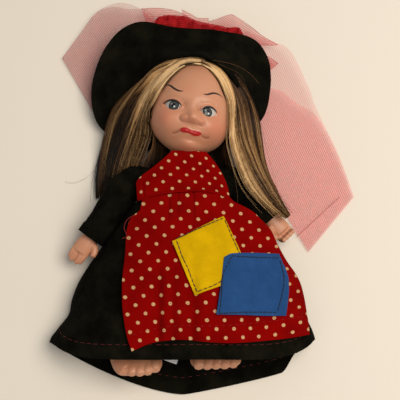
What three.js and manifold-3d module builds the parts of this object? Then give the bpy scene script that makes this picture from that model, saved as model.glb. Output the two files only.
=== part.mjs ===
// Dressed witch doll lying on its back: X to the right, Y toward the head, Z up from the table, millimetres.

import * as THREE from 'three';
import { mergeVertices } from 'three/addons/utils/BufferGeometryUtils.js';
import ManifoldModule from 'manifold-3d';

const wasm = await ManifoldModule();
wasm.setup();

// Fits and cloth
const GAP = 0.4;
const CLOTH = 1.0;
const APRON_CLOTH = 0.8;
const NET = 0.7;
const SEAT_TO_WAIST = 40;

// Body axis and torso
const BODY_Z = 20;
const TORSO_TOP = 21.5;
const TORSO_BOTTOM = -52;
const SHOULDER_Y = 10;
const WAIST_Y = -3;
const HIP_Y = -40;
const NECK_END_WIDTH = 21;
const CHEST_WIDTH = 50;
const BELLY_WIDTH = CHEST_WIDTH + 3;
const CHEST_DEPTH = 32;
const BELLY_DEPTH = CHEST_DEPTH + 3;

// Flanged plugs that hold head, arms and legs
const PLUG_RADIUS = 5;
const FLANGE_RADIUS = 6.8;
const PLUG_SHAFT = 4;
const FLANGE_LENGTH = 3;
const NECK_RADIUS = 8.5;
const NECK_AXIS_Z = BODY_Z + 1;
const ARM_ROOT_RADIUS = 8.6;
const LEG_ROOT_RADIUS = 11.5;
const ARM_SEAT = CHEST_WIDTH / 2 - 1.5;
const LEG_SEAT = 10.5;
const LEG_RAISE = THREE.MathUtils.degToRad(74);

// Head
const HEAD_WIDTH = 50;
const HEAD_HEIGHT = 62;
const HEAD_DEPTH = 49;
const HEAD_TILT = THREE.MathUtils.degToRad(11);
const HEAD_LIFT = 5.7;
const HEAD_ASIDE = 5.5;
const NECK_SHOWING = 1.5;
const HEAD_CENTRE = new THREE.Vector3(
  HEAD_ASIDE, TORSO_TOP + NECK_SHOWING + HEAD_HEIGHT / 2, HEAD_LIFT + HEAD_DEPTH / 2,
);
const EYE_SPACING = 22;
const EYE_DROP = 5.2;
const EYE_RADIUS = 5.2;
const NOSE_LENGTH = 4.2;
const HAIR_CAP = 2;
const LOCK_DEPTH = 3;

// Arms and hands
const WRIST_RADIUS = 5.8;
const SLEEVE_ROOT_RADIUS = 10.1;
const CUFF_WIDTH = 18;
const CUFF_DEPTH = 16;
const PALM_WIDTH = 13;
const FINGER_RADIUS = 2.2;
const FINGER_LENGTH = 9;

// Legs and feet
const ANKLE_RADIUS = 7;
const FOOT_LENGTH = 24;
const FOOT_WIDTH = 26;
const TOE_RADIUS = 2.7;

// Skirt and apron
const SKIRT_FRONT = 98;
const SKIRT_BACK = 115;
const SKIRT_LEFT = 84;
const SKIRT_RIGHT = 83;
const SKIRT_RISE = 38;
const FOLD_DEPTH = 1.6;
const FOLD_COUNT = 9;
const APRON_LENGTH = 89;
const PATCH_CLOTH = 0.8;
const LABEL_WIDTH = 7;
const LABEL_LENGTH = 11.5;
const LABEL_ABOVE_HEM = 13.5;
const BIB_TOP = TORSO_TOP + 1.5;
const BIB_TOP_WIDTH = 18;
const BAND_HEIGHT = 2.2;

// Hat
const BRIM_CLOTH = 1.2;
const HAT_MOUTH_WIDTH = 57;
const HAT_MOUTH_LENGTH = 63;
const HAT_PULL = 25.5;
const CROWN_LENGTH = 53.5;
const TAIL_REACH = 104.5;
const TAIL_DROP = 90.5;

const X = new THREE.Vector3(1, 0, 0);
const Y = new THREE.Vector3(0, 1, 0);
const Z = new THREE.Vector3(0, 0, 1);

const at = (x, y, z) => new THREE.Vector3(x, y, z);
const smooth = (low, high, x) => THREE.MathUtils.smoothstep(x, low, high);
const mix = THREE.MathUtils.lerp;

// Closed surface from points and triangles, turned to face outward.
function surface(points, triangles) {
  let volume = 0;
  for (const [a, b, c] of triangles) {
    volume += points[a].dot(points[b].clone().cross(points[c]));
  }
  const index = triangles.flatMap(([a, b, c]) => (volume > 0 ? [a, b, c] : [a, c, b]));
  const geometry = new THREE.BufferGeometry();
  geometry.setAttribute('position', new THREE.Float32BufferAttribute(points.flatMap((p) => p.toArray()), 3));
  geometry.setIndex(index);
  return geometry;
}

// Triangles of the band between two neighbouring rings that start at the given indices.
function band(first, second, count) {
  const triangles = [];
  for (let i = 0; i < count; i += 1) {
    const j = (i + 1) % count;
    triangles.push([first + i, first + j, second + j], [first + i, second + j, second + i]);
  }
  return triangles;
}

// Solid through a row of rings, closed with a fan at each end.
function loft(rings) {
  const count = rings[0].length;
  const points = rings.flat();
  const triangles = [];
  for (let k = 0; k + 1 < rings.length; k += 1) {
    triangles.push(...band(k * count, (k + 1) * count, count));
  }
  [0, rings.length - 1].forEach((k) => {
    const hub = points.length;
    points.push(rings[k].reduce((sum, p) => sum.add(p), at(0, 0, 0)).divideScalar(count));
    for (let i = 0; i < count; i += 1) {
      const a = k * count + i;
      const b = k * count + ((i + 1) % count);
      triangles.push(k === 0 ? [hub, b, a] : [hub, a, b]);
    }
  });
  return surface(points, triangles);
}

// Tube wall between outer and inner rings, open at both ends.
function wall(outer, inner) {
  const count = outer[0].length;
  const loop = [...outer, ...inner.slice().reverse()];
  const points = loop.flat();
  const triangles = [];
  for (let k = 0; k < loop.length; k += 1) {
    triangles.push(...band(k * count, ((k + 1) % loop.length) * count, count));
  }
  return surface(points, triangles);
}

// Bowl between outer and inner rings, open at the first ring and closed at the last.
function bowl(outer, inner) {
  return loft([...outer.slice().reverse(), ...inner]);
}

// Slab between two grids of points with the same rows and columns.
function slab(top, bottom) {
  const rows = top.length;
  const columns = top[0].length;
  const points = [...top.flat(), ...bottom.flat()];
  const half = rows * columns;
  const id = (r, c) => r * columns + c;
  const triangles = [];
  const quad = (a, b, c, d) => triangles.push([a, b, c], [a, c, d]);
  for (let r = 0; r + 1 < rows; r += 1) {
    for (let c = 0; c + 1 < columns; c += 1) {
      quad(id(r, c), id(r, c + 1), id(r + 1, c + 1), id(r + 1, c));
      quad(half + id(r, c), half + id(r + 1, c), half + id(r + 1, c + 1), half + id(r, c + 1));
    }
  }
  for (let r = 0; r + 1 < rows; r += 1) {
    quad(id(r, 0), id(r + 1, 0), half + id(r + 1, 0), half + id(r, 0));
    const c = columns - 1;
    quad(id(r + 1, c), id(r, c), half + id(r, c), half + id(r + 1, c));
  }
  for (let c = 0; c + 1 < columns; c += 1) {
    quad(id(0, c + 1), id(0, c), half + id(0, c), half + id(0, c + 1));
    quad(id(rows - 1, c), id(rows - 1, c + 1), half + id(rows - 1, c + 1), half + id(rows - 1, c));
  }
  return surface(points, triangles);
}

// Solid joining and cutting
function toManifold(geometry) {
  const bare = new THREE.BufferGeometry();
  bare.setAttribute('position', geometry.getAttribute('position'));
  if (geometry.index) {
    bare.setIndex(geometry.index);
  }
  const merged = mergeVertices(bare, 1e-4);
  return new wasm.Manifold(new wasm.Mesh({
    numProp: 3,
    vertProperties: Float32Array.from(merged.getAttribute('position').array),
    triVerts: Uint32Array.from(merged.index.array),
  }));
}

function fromManifold(solid) {
  const mesh = solid.getMesh();
  const geometry = new THREE.BufferGeometry();
  geometry.setAttribute('position', new THREE.Float32BufferAttribute(mesh.vertProperties, 3));
  geometry.setIndex(Array.from(mesh.triVerts));
  return geometry;
}

function join(...pieces) {
  return fromManifold(pieces.map(toManifold).reduce((all, piece) => all.add(piece)));
}

function cut(body, ...tools) {
  return fromManifold(tools.map(toManifold).reduce((left, tool) => left.subtract(tool), toManifold(body)));
}

// Ring of points in the plane of two unit vectors.
function ring(centre, across, up, halfAcross, halfUp, count) {
  const points = [];
  for (let i = 0; i < count; i += 1) {
    const angle = (2 * Math.PI * i) / count;
    points.push(centre.clone()
      .addScaledVector(across, halfAcross * Math.cos(angle))
      .addScaledVector(up, halfUp * Math.sin(angle)));
  }
  return points;
}

// Round stepped bar along a direction, from [distance, radius] pairs.
function turned(origin, along, steps, count = 14) {
  const across = Math.abs(along.z) > 0.9 ? X : along.clone().cross(Z).normalize();
  const up = across.clone().cross(along).normalize();
  return loft(steps.map(([distance, radius]) => (
    ring(origin.clone().addScaledVector(along, distance), across, up, radius, radius, count))));
}

// Flanged plug and the socket that it turns in, both measured from the seat inward.
function plug(origin, inward, radius = PLUG_RADIUS, flange = FLANGE_RADIUS) {
  const end = PLUG_SHAFT + FLANGE_LENGTH;
  return turned(origin, inward, [
    [-2, radius], [PLUG_SHAFT, radius], [PLUG_SHAFT, flange], [end - 1, flange], [end, flange - 1.2],
  ]);
}

function socket(origin, inward, radius = PLUG_RADIUS, flange = FLANGE_RADIUS) {
  const end = PLUG_SHAFT + FLANGE_LENGTH + 2 * GAP;
  return turned(origin, inward, [
    [-20, radius + GAP], [PLUG_SHAFT - GAP, radius + GAP],
    [PLUG_SHAFT - GAP, flange + GAP], [end, flange + GAP],
  ]);
}

// Rings along a curve, with half sizes across and up from a second curve.
// A limb's rings stay outside its root plane.
function limbRings(path, sizes, steps, count, start = null, thinner = 0) {
  const rings = [];
  const root = path.getPoint(0).x;
  for (let k = 0; k <= steps; k += 1) {
    const t = k / steps;
    const along = k === 0 && start ? start : path.getTangent(t);
    const across = along.clone().cross(Z).normalize();
    const up = across.clone().cross(along).normalize();
    const size = sizes.getPoint(t);
    const points = ring(path.getPoint(t), across, up, size.x - thinner, size.y - thinner, count);
    if (start) {
      points.forEach((p) => p.setX(start.x * Math.max(start.x * p.x, start.x * root)));
    }
    rings.push(points);
  }
  return rings;
}

const curve = (...points) => new THREE.CatmullRomCurve3(points);

// Torso section: half width and half depth at a height along the body.
const TORSO_PROFILE = curve(
  at(TORSO_TOP, NECK_END_WIDTH / 2, NECK_END_WIDTH / 2),
  at(TORSO_TOP - 2.5, CHEST_WIDTH * 0.36, CHEST_DEPTH * 0.4),
  at(TORSO_TOP - 7.5, CHEST_WIDTH * 0.465, CHEST_DEPTH * 0.465),
  at(SHOULDER_Y - 2, CHEST_WIDTH / 2, CHEST_DEPTH / 2),
  at(WAIST_Y, CHEST_WIDTH / 2 + 0.3, CHEST_DEPTH / 2 + 0.5),
  at(WAIST_Y - 13, BELLY_WIDTH / 2 - 0.8, BELLY_DEPTH / 2 - 0.2),
  at(HIP_Y + 12, BELLY_WIDTH / 2, BELLY_DEPTH / 2),
  at(HIP_Y, BELLY_WIDTH * 0.45, BELLY_DEPTH * 0.46),
  at(TORSO_BOTTOM + 4, BELLY_WIDTH * 0.31, BELLY_DEPTH * 0.35),
  at(TORSO_BOTTOM, BELLY_WIDTH * 0.1, BELLY_DEPTH * 0.14),
);

function torsoSection(y) {
  let low = 0;
  let high = 1;
  for (let k = 0; k < 30; k += 1) {
    const middle = (low + high) / 2;
    if (TORSO_PROFILE.getPoint(middle).x > y) {
      low = middle;
    } else {
      high = middle;
    }
  }
  const found = TORSO_PROFILE.getPoint(low);
  return { halfWidth: found.y, halfDepth: found.z };
}

function torsoRing(y, offset, count) {
  const section = torsoSection(y);
  return ring(at(0, y, BODY_Z), X, Z, section.halfWidth + offset, section.halfDepth + offset, count);
}

const BODICE_SHOULDER = TORSO_TOP - 1.2;

// Joint centres
const NECK = at(0, TORSO_TOP, NECK_AXIS_Z);
const shoulder = (side) => at(side * ARM_SEAT, SHOULDER_Y, BODY_Z + 1);
const hip = (side) => at(side * LEG_SEAT, HIP_Y, BODY_Z - 1);

// Relief in the belly that leaves room for a raised thigh, beside its seat.
function thighRelief(side) {
  const forward = at(0, -Math.cos(LEG_RAISE), Math.sin(LEG_RAISE));
  const above = at(0, Math.sin(LEG_RAISE), Math.cos(LEG_RAISE));
  const clear = LEG_ROOT_RADIUS + 2 * GAP;
  const corner = (x, u, v) => hip(side).add(at(side * x, 0, 0))
    .addScaledVector(forward, u).addScaledVector(above, v);
  const face = (x) => [[0, clear], [0, -clear], [40, -clear], [40, clear]].map(([u, v]) => corner(x, u, v));
  return loft([face(0), face(30)]);
}

function makeTorso() {
  const rings = [];
  const steps = 13;
  for (let k = 0; k <= steps; k += 1) {
    rings.push(torsoRing(mix(TORSO_TOP, TORSO_BOTTOM, k / steps), 0, 24));
  }
  const tools = [socket(NECK, Y.clone().negate(), PLUG_RADIUS + 1, FLANGE_RADIUS + 0.7)];
  for (const side of [-1, 1]) {
    const outward = X.clone().multiplyScalar(side);
    const inward = outward.clone().negate();
    const armHole = ARM_ROOT_RADIUS + GAP;
    const legHole = LEG_ROOT_RADIUS + 2 * GAP;
    tools.push(turned(shoulder(side), outward, [[0, armHole], [20, armHole]], 20));
    tools.push(turned(hip(side), outward, [[0, legHole], [30, legHole]], 20));
    tools.push(socket(shoulder(side), inward), socket(hip(side), inward), thighRelief(side));
  }
  return cut(loft(rings), ...tools);
}

// Bodice: cloth shell over the chest with a small collar and a round hole for each arm.
function bodiceTop(count) {
  const radius = NECK_END_WIDTH / 2 + GAP + CLOTH;
  return ring(at(0, TORSO_TOP + 1.2, BODY_Z), X, Z, radius, radius, count);
}

function makeBodice() {
  const collar = (y, radius) => ring(at(0, y, NECK_AXIS_Z), X, Z, radius, radius, 24);
  const outer = [collar(TORSO_TOP + 1.6, NECK_RADIUS + GAP + CLOTH), bodiceTop(24)];
  const inner = [
    collar(TORSO_TOP + 1.6, NECK_RADIUS + GAP), collar(TORSO_TOP + 0.5, NECK_RADIUS + GAP),
    ring(at(0, TORSO_TOP + 0.5, BODY_Z), X, Z, NECK_END_WIDTH / 2 + GAP, NECK_END_WIDTH / 2 + GAP, 24),
  ];
  const steps = 7;
  for (let k = 0; k <= steps; k += 1) {
    const y = mix(BODICE_SHOULDER, WAIST_Y + GAP, k / steps);
    outer.push(torsoRing(y, GAP + CLOTH, 24));
    inner.push(torsoRing(y, GAP, 24));
  }
  const holes = [-1, 1].map((side) => turned(shoulder(side), X.clone().multiplyScalar(side), [
    [-8, ARM_ROOT_RADIUS + GAP], [20, ARM_ROOT_RADIUS + GAP],
  ], 20));
  return cut(wall(outer, inner), ...holes);
}

// Head: full cheeks, small nose and chin, with the neck and its plug below.
function facePush(x, y) {
  const bump = (cx, cy, width, height) => Math.exp(-(((x - cx) / width) ** 2) - (((y - cy) / height) ** 2));
  return NOSE_LENGTH * bump(1.5, -12.5, 4, 3.6)
    + 2.4 * bump(-13.5, -13, 8, 8)
    + 2.4 * bump(14, -13, 8, 8)
    + 1.6 * bump(3, -19.5, 5, 3)
    + 2 * bump(1, -26.5, 7, 5)
    - 1.6 * bump(-EYE_SPACING / 2, -EYE_DROP, 6, 4.5)
    - 1.6 * bump(EYE_SPACING / 2, -EYE_DROP, 6, 4.5);
}

function headPoint(theta, phi, lift = 0) {
  const high = Math.cos(theta);
  const round = Math.sin(theta);
  const full = 1 + 0.05 * Math.exp(-(((high + 0.42) / 0.3) ** 2));
  const x = (HEAD_WIDTH / 2 + lift) * full * round * Math.sin(phi);
  const y = (HEAD_HEIGHT / 2 + lift) * high;
  const z = (HEAD_DEPTH / 2 + lift) * round * Math.cos(phi);
  const front = smooth(0, 0.7, round * Math.cos(phi));
  const local = at(x, y, z + front * facePush(x, y));
  return local.applyAxisAngle(Z, -HEAD_TILT).add(HEAD_CENTRE);
}

function eyeCentre(side) {
  const aside = EYE_SPACING / HEAD_WIDTH;
  const below = 2 * EYE_DROP / HEAD_HEIGHT;
  const depth = HEAD_DEPTH / 2 * Math.sqrt(1 - aside ** 2 - below ** 2);
  return at(side * EYE_SPACING / 2, -EYE_DROP, depth - EYE_RADIUS * 0.82)
    .applyAxisAngle(Z, -HEAD_TILT).add(HEAD_CENTRE);
}

function ball(centre, radius, count = 12) {
  const rings = [];
  for (let k = 1; k < count / 2; k += 1) {
    const angle = (2 * Math.PI * k) / count;
    const middle = centre.clone().addScaledVector(Z, radius * Math.cos(angle));
    rings.push(ring(middle, X, Y, radius * Math.sin(angle), radius * Math.sin(angle), count));
  }
  const poles = [rings[0], rings[rings.length - 1]].map((r, k) => r.map(() => (
    centre.clone().addScaledVector(Z, (k === 0 ? 1 : -1) * radius))));
  return mergeVertices(loft([poles[0], ...rings, poles[1]]), 1e-4);
}

function makeHead() {
  const rings = [];
  const rows = 18;
  for (let k = 1; k < rows; k += 1) {
    const theta = (Math.PI * k) / rows;
    const points = [];
    for (let i = 0; i < 28; i += 1) {
      points.push(headPoint(theta, (2 * Math.PI * i) / 28));
    }
    rings.push(points);
  }
  const foot = NECK.clone().addScaledVector(Y, GAP);
  const neck = turned(foot, Y, [[0, NECK_RADIUS], [12, NECK_RADIUS]], 20);
  const body = join(loft(rings), neck, plug(NECK, Y.clone().negate(), PLUG_RADIUS + 1, FLANGE_RADIUS + 0.7));
  return cut(body, ball(eyeCentre(-1), EYE_RADIUS + GAP), ball(eyeCentre(1), EYE_RADIUS + GAP));
}

// Scalp: hair cap over top and back, down to the hairline.
function makeHairCap() {
  const outer = [];
  const inner = [];
  const columns = 28;
  const rows = 6;
  for (let k = 0; k < rows; k += 1) {
    const outerRow = [];
    const innerRow = [];
    for (let i = 0; i < columns; i += 1) {
      const phi = (2 * Math.PI * i) / columns;
      const behind = (1 - Math.cos(phi)) / 2;
      const hairline = THREE.MathUtils.degToRad(mix(44, 112, behind));
      const theta = hairline * (1 - k / rows);
      outerRow.push(headPoint(theta, phi, 2 * GAP + HAIR_CAP));
      innerRow.push(headPoint(theta, phi, 2 * GAP));
    }
    outer.push(outerRow);
    inner.push(innerRow);
  }
  return bowl(outer, inner);
}

// Flat lock of hair along a curve; half width, half depth and sideways lean come from a second curve.
function makeLock(path, sizes, steps = 10) {
  const line = curve(...path);
  const shape = curve(...sizes);
  const rings = [];
  for (let k = 0; k <= steps; k += 1) {
    const t = k / steps;
    const along = line.getTangent(t);
    const size = shape.getPoint(t);
    const lean = at(Math.sin(size.z), 0, Math.cos(size.z));
    const across = along.clone().cross(lean).normalize();
    const up = across.clone().cross(along).normalize();
    rings.push(ring(line.getPoint(t), across, up, size.x, size.y, 8));
  }
  return loft(rings);
}

// Arms and hands
const ARM_PATH = {
  '-1': [at(-30.5, SHOULDER_Y, 21), at(-38, 4.5, 20), at(-47.5, -9.5, 18), at(-58.5, -24.5, 16)],
  1: [at(30.5, SHOULDER_Y, 21), at(38.5, 5.5, 20), at(47, -3.5, 18), at(55, -12, 16)],
};

function armCurve(side, from) {
  return curve(at(side * from, SHOULDER_Y, BODY_Z + 1), ...ARM_PATH[side]);
}

function finger(base, bend, tip, radius) {
  const path = curve(base, bend, tip);
  const sizes = curve(
    at(radius, radius, 0), at(radius * 1.04, radius * 1.04, 0),
    at(radius, radius, 0), at(radius * 0.45, radius * 0.45, 0),
  );
  return loft(limbRings(path, sizes, 4, 7));
}

function makeArm(side, curl) {
  const root = ARM_SEAT + GAP;
  const path = armCurve(side, root);
  const sizes = curve(
    at(ARM_ROOT_RADIUS, ARM_ROOT_RADIUS, 0),
    at(ARM_ROOT_RADIUS - 0.3, ARM_ROOT_RADIUS - 0.3, 0),
    at(8.2, 8, 0),
    at(7, 6.6, 0),
    at(WRIST_RADIUS, WRIST_RADIUS * 0.9, 0),
  );
  const pieces = [loft(limbRings(path, sizes, 10, 12, X.clone().multiplyScalar(side)))];
  const wrist = path.getPoint(1);
  const along = path.getTangent(1);
  const across = along.clone().cross(Z).normalize();
  const up = across.clone().cross(along).normalize();
  const place = (forward, sideways, high) => wrist.clone()
    .addScaledVector(along, forward).addScaledVector(across, sideways).addScaledVector(up, high);
  const palm = curve(
    at(WRIST_RADIUS, WRIST_RADIUS * 0.9, 0), at(WRIST_RADIUS * 0.92, WRIST_RADIUS * 0.8, 0),
    at(PALM_WIDTH / 2, 4.2, 0), at(PALM_WIDTH / 2, 3.6, 0), at(PALM_WIDTH * 0.3, 2, 0),
  );
  const palmPath = curve(place(-3, 0, 0), place(1, 0, 0), place(6, 0, 0), place(12, 0, 0));
  pieces.push(loft(limbRings(palmPath, palm, 5, 10)));
  for (let k = 0; k < 4; k += 1) {
    const spread = (k - 1.5) * PALM_WIDTH * 0.25;
    const length = FINGER_LENGTH * (k === 1 || k === 2 ? 1 : 0.85);
    pieces.push(curl
      ? finger(place(9, spread, 0), place(13.5, spread * 1.05, 1.2), place(13.2, spread, 5.5), FINGER_RADIUS)
      : finger(
        place(8, spread, 0), place(12, spread * 1.12, 0.4),
        place(9.5 + length, spread * 1.2, -0.6), FINGER_RADIUS,
      ));
  }
  const inner = side * (across.x > 0 ? -1 : 1);
  const thumb = FINGER_RADIUS * 1.1;
  pieces.push(curl
    ? finger(place(3, inner * 4.5, 1.5), place(7.5, inner * 7, 4), place(11, inner * 4.2, 6), thumb)
    : finger(place(2, inner * 4, 0.5), place(5, inner * 7.5, 1.5), place(9, inner * 9, 2), thumb));
  pieces.push(plug(shoulder(side), X.clone().multiplyScalar(-side)));
  return join(...pieces);
}

function makeSleeve(side) {
  const path = armCurve(side, torsoSection(WAIST_Y).halfWidth + 2 * GAP + CLOTH);
  const sizes = curve(
    at(SLEEVE_ROOT_RADIUS, SLEEVE_ROOT_RADIUS, 0),
    at(SLEEVE_ROOT_RADIUS, SLEEVE_ROOT_RADIUS - 0.2, 0),
    at(10.6, 10, 0),
    at(9.6, 8.8, 0),
    at(CUFF_WIDTH / 2, CUFF_DEPTH / 2, 0),
  );
  const start = X.clone().multiplyScalar(side);
  return wall(limbRings(path, sizes, 8, 16, start), limbRings(path, sizes, 8, 16, start, CLOTH));
}

// Legs and bare feet
const LEG_TURN = { '-1': -0.12, 1: 0.02 };

function makeLeg(side) {
  const root = hip(side).add(at(side * GAP, 0, 0));
  const knee = side < 0 ? -21.5 : 20;
  const ankle = side < 0 ? -23.5 : 19.5;
  const path = curve(
    root, at(side * 17, HIP_Y - 2, BODY_Z - 1.4), at(knee, HIP_Y - 15, 17.5),
    at(knee, HIP_Y - 30, 15.5), at(ankle, HIP_Y - 47, 12.5),
  );
  const sizes = curve(
    at(LEG_ROOT_RADIUS, LEG_ROOT_RADIUS, 0), at(LEG_ROOT_RADIUS - 0.3, LEG_ROOT_RADIUS - 0.3, 0),
    at(10.6, 10.4, 0), at(9.2, 9, 0), at(ANKLE_RADIUS, ANKLE_RADIUS, 0),
  );
  const leg = loft(limbRings(path, sizes, 10, 14, X.clone().multiplyScalar(side)));
  const heel = at(ankle, HIP_Y - 46, 9.5);
  const along = at(LEG_TURN[side], -0.74, 0.6).normalize();
  const across = along.clone().cross(Z).normalize();
  const up = across.clone().cross(along).normalize();
  const place = (forward, sideways, high) => heel.clone()
    .addScaledVector(along, forward).addScaledVector(across, sideways).addScaledVector(up, high);
  const sole = curve(
    at(3, 3, 0), at(7.4, 6.6, 0), at(8.6, 6.4, 0),
    at(FOOT_WIDTH * 0.46, 5, 0), at(FOOT_WIDTH / 2, 4, 0), at(FOOT_WIDTH * 0.4, 2.4, 0),
  );
  const footPath = curve(
    place(-5.5, 0, 0), place(-2.5, 0, 0), place(5, 0, 0), place(12, 0, 0),
    place(FOOT_LENGTH - 5, 0, 0), place(FOOT_LENGTH - 2, 0, 0),
  );
  const pieces = [leg, loft(limbRings(footPath, sole, 7, 12))];
  for (let k = 0; k < 5; k += 1) {
    const sideways = -side * Math.sign(across.x) * (k - 2) * FOOT_WIDTH * 0.2;
    const radius = TOE_RADIUS * (k === 4 ? 1.25 : 0.86 + 0.05 * k);
    const reach = FOOT_LENGTH - 1.6 + 0.9 * k - (k === 4 ? 0.8 : 0);
    pieces.push(finger(
      place(reach - 6, sideways, 0), place(reach - 2.5, sideways, 0.6),
      place(reach + 1.5, sideways * 1.02, 0.2), radius,
    ));
  }
  pieces.push(plug(hip(side), X.clone().multiplyScalar(-side)));
  return join(...pieces);
}

// Skirt: flat under the doll, arched over the legs, longer behind, with soft folds toward the hem.
const SIDE_SLOPE = curve(
  at(0, 0, 0), at(0.08, 0.075, 0.1), at(0.16, 0.18, 0.27), at(0.3, 0.38, 0.54),
  at(0.5, 0.65, 0.75), at(0.62, 0.74, 0.82), at(0.77, 0.78, 0.87),
  at(0.88, 0.9, 0.92), at(0.97, 0.99, 0.98), at(1, 1, 1),
);

function sideWidth(y, side) {
  const drop = THREE.MathUtils.clamp((WAIST_Y - y) / (SKIRT_FRONT - 10), 0, 1.4);
  const start = CHEST_WIDTH / 2 + 0.3 + GAP + CLOTH;
  const reach = side < 0 ? SKIRT_LEFT : SKIRT_RIGHT;
  if (drop >= 1) {
    return reach;
  }
  let low = 0;
  let high = 1;
  for (let k = 0; k < 24; k += 1) {
    const middle = (low + high) / 2;
    if (SIDE_SLOPE.getPoint(middle).x < drop) {
      low = middle;
    } else {
      high = middle;
    }
  }
  const share = SIDE_SLOPE.getPoint(low);
  return mix(start, reach, side < 0 ? share.y : share.z);
}

function hemY(cosine, front) {
  const aside = Math.abs(cosine);
  return front
    ? WAIST_Y - SKIRT_FRONT + 11 * aside ** 2
    : WAIST_Y - SKIRT_BACK + 28 * aside ** (cosine < 0 ? 1.6 : 2.4);
}

function skirtHeights(share) {
  const top = BODY_Z + CHEST_DEPTH / 2 + 0.5 + GAP + CLOTH;
  const edge = mix(BODY_Z, 8, smooth(0, 0.6, share));
  const rise = mix(top, SKIRT_RISE + 6, smooth(0, 0.9, share));
  const peak = rise + 3 * smooth(0, 0.25, share) * (1 - smooth(0.3, 1, share));
  return { edge, peak };
}

function skirtPoint(angle, share, inset) {
  const cosine = Math.cos(angle);
  const sine = Math.sin(angle);
  const front = sine >= 0;
  const y = mix(WAIST_Y, hemY(cosine, front), share);
  const width = sideWidth(y, cosine) - inset;
  const { edge, peak } = skirtHeights(share);
  const fold = FOLD_DEPTH * smooth(0.15, 1, share) * Math.cos(FOLD_COUNT * angle) * Math.abs(sine);
  const z = front
    ? edge + (peak - edge - inset) * sine ** mix(1, 1.15, share) + fold
    : Math.max(inset, edge - (edge + mix(-1, 8, smooth(0, 0.2, share)) - inset) * Math.abs(sine) ** 0.8);
  return at(width * cosine, y, z);
}

function makeSkirt() {
  const angles = [];
  for (let i = 0; i < 30; i += 1) {
    angles.push((Math.PI * i) / 30);
  }
  for (let i = 0; i < 14; i += 1) {
    angles.push(Math.PI + (Math.PI * i) / 14);
  }
  const rows = 9;
  const rings = [0, CLOTH].map((inset) => {
    const grid = [];
    for (let k = 0; k <= rows; k += 1) {
      grid.push(angles.map((angle) => skirtPoint(angle, k / rows, inset)));
    }
    return grid;
  });
  return wall(rings[0], rings[1]);
}

// Point over the skirt's front at a place seen from above, lifted square to the cloth.
function overSkirt(x, y, lift) {
  const height = (px, py) => {
    const width = sideWidth(py, px);
    const cosine = THREE.MathUtils.clamp(px / width, -0.999, 0.999);
    const share = (WAIST_Y - py) / (WAIST_Y - hemY(cosine, true));
    return skirtPoint(Math.acos(cosine), share, 0).z;
  };
  const step = 1.5;
  const slopeX = (height(x + step, y) - height(x - step, y)) / (2 * step);
  const below = Math.min(y, WAIST_Y - step);
  const slopeY = (height(x, below + step) - height(x, below - step)) / (2 * step);
  const normal = at(-slopeX, -slopeY, 1).normalize();
  return at(x, y, height(x, y)).addScaledVector(normal, lift);
}

// Cloth layer over the skirt between a left and a right edge curve.
function layer(left, right, rows, columns, lift, thickness) {
  const grid = (height) => {
    const points = [];
    for (let r = 0; r <= rows; r += 1) {
      const a = left.getPoint(r / rows);
      const b = right.getPoint(r / rows);
      const row = [];
      for (let c = 0; c <= columns; c += 1) {
        const p = a.clone().lerp(b, c / columns);
        row.push(overSkirt(p.x, p.y, height));
      }
      points.push(row);
    }
    return points;
  };
  return slab(grid(lift + thickness), grid(lift));
}

const APRON_LIFT = 1.8 * GAP;
const YELLOW_LIFT = APRON_LIFT + APRON_CLOTH + GAP;
const BLUE_LIFT = YELLOW_LIFT + PATCH_CLOTH + GAP;

function makeApronSkirt() {
  const end = WAIST_Y - APRON_LENGTH;
  const top = WAIST_Y - GAP;
  const left = curve(
    at(-23, top, 0), at(-29, -12, 0), at(-33.5, -30, 0),
    at(-34, -56, 0), at(-33, -78, 0), at(-30, end - 3.5, 0),
  );
  const right = curve(
    at(23, top, 0), at(31, -12, 0), at(49.5, -30, 0), at(63, -56, 0), at(68, -74, 0), at(71, end + 5, 0),
  );
  return layer(left, right, 14, 15, APRON_LIFT, APRON_CLOTH);
}

function makePatchYellow() {
  const left = curve(at(-6.9, -30.7, 0), at(0.4, -47.5, 0), at(7.5, -64, 0));
  const right = curve(at(24.8, -16.7, 0), at(29.8, -28, 0), at(34.2, -39.7, 0));
  return layer(left, right, 5, 5, YELLOW_LIFT, PATCH_CLOTH);
}

function makePatchBlue() {
  const left = curve(at(24.7, -41.4, 0), at(22.4, -58, 0), at(20.4, -75, 0));
  const right = curve(at(55.5, -39, 0), at(58.5, -55, 0), at(59, -75.5, 0));
  return layer(left, right, 5, 5, BLUE_LIFT, PATCH_CLOTH);
}

// Bib over the chest, waistband round the waist and strap round the neck
function makeBib() {
  const rows = 7;
  const columns = 8;
  const grid = (lift) => {
    const points = [];
    for (let r = 0; r <= rows; r += 1) {
      const y = mix(BIB_TOP, WAIST_Y + BAND_HEIGHT + 2 * GAP, r / rows);
      const section = torsoSection(Math.min(y, TORSO_TOP - 5));
      const halfWidth = section.halfWidth + lift;
      const reach = mix(BIB_TOP_WIDTH / 2, 0.85 * halfWidth, smooth(0, 0.75, r / rows));
      const widest = Math.asin(reach / halfWidth);
      const row = [];
      for (let c = 0; c <= columns; c += 1) {
        const angle = mix(-widest, widest, c / columns);
        row.push(at(halfWidth * Math.sin(angle), y, BODY_Z + (section.halfDepth + lift) * Math.cos(angle)));
      }
      points.push(row);
    }
    return points;
  };
  const lift = 2 * GAP + CLOTH;
  return slab(grid(lift + APRON_CLOTH), grid(lift));
}

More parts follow.
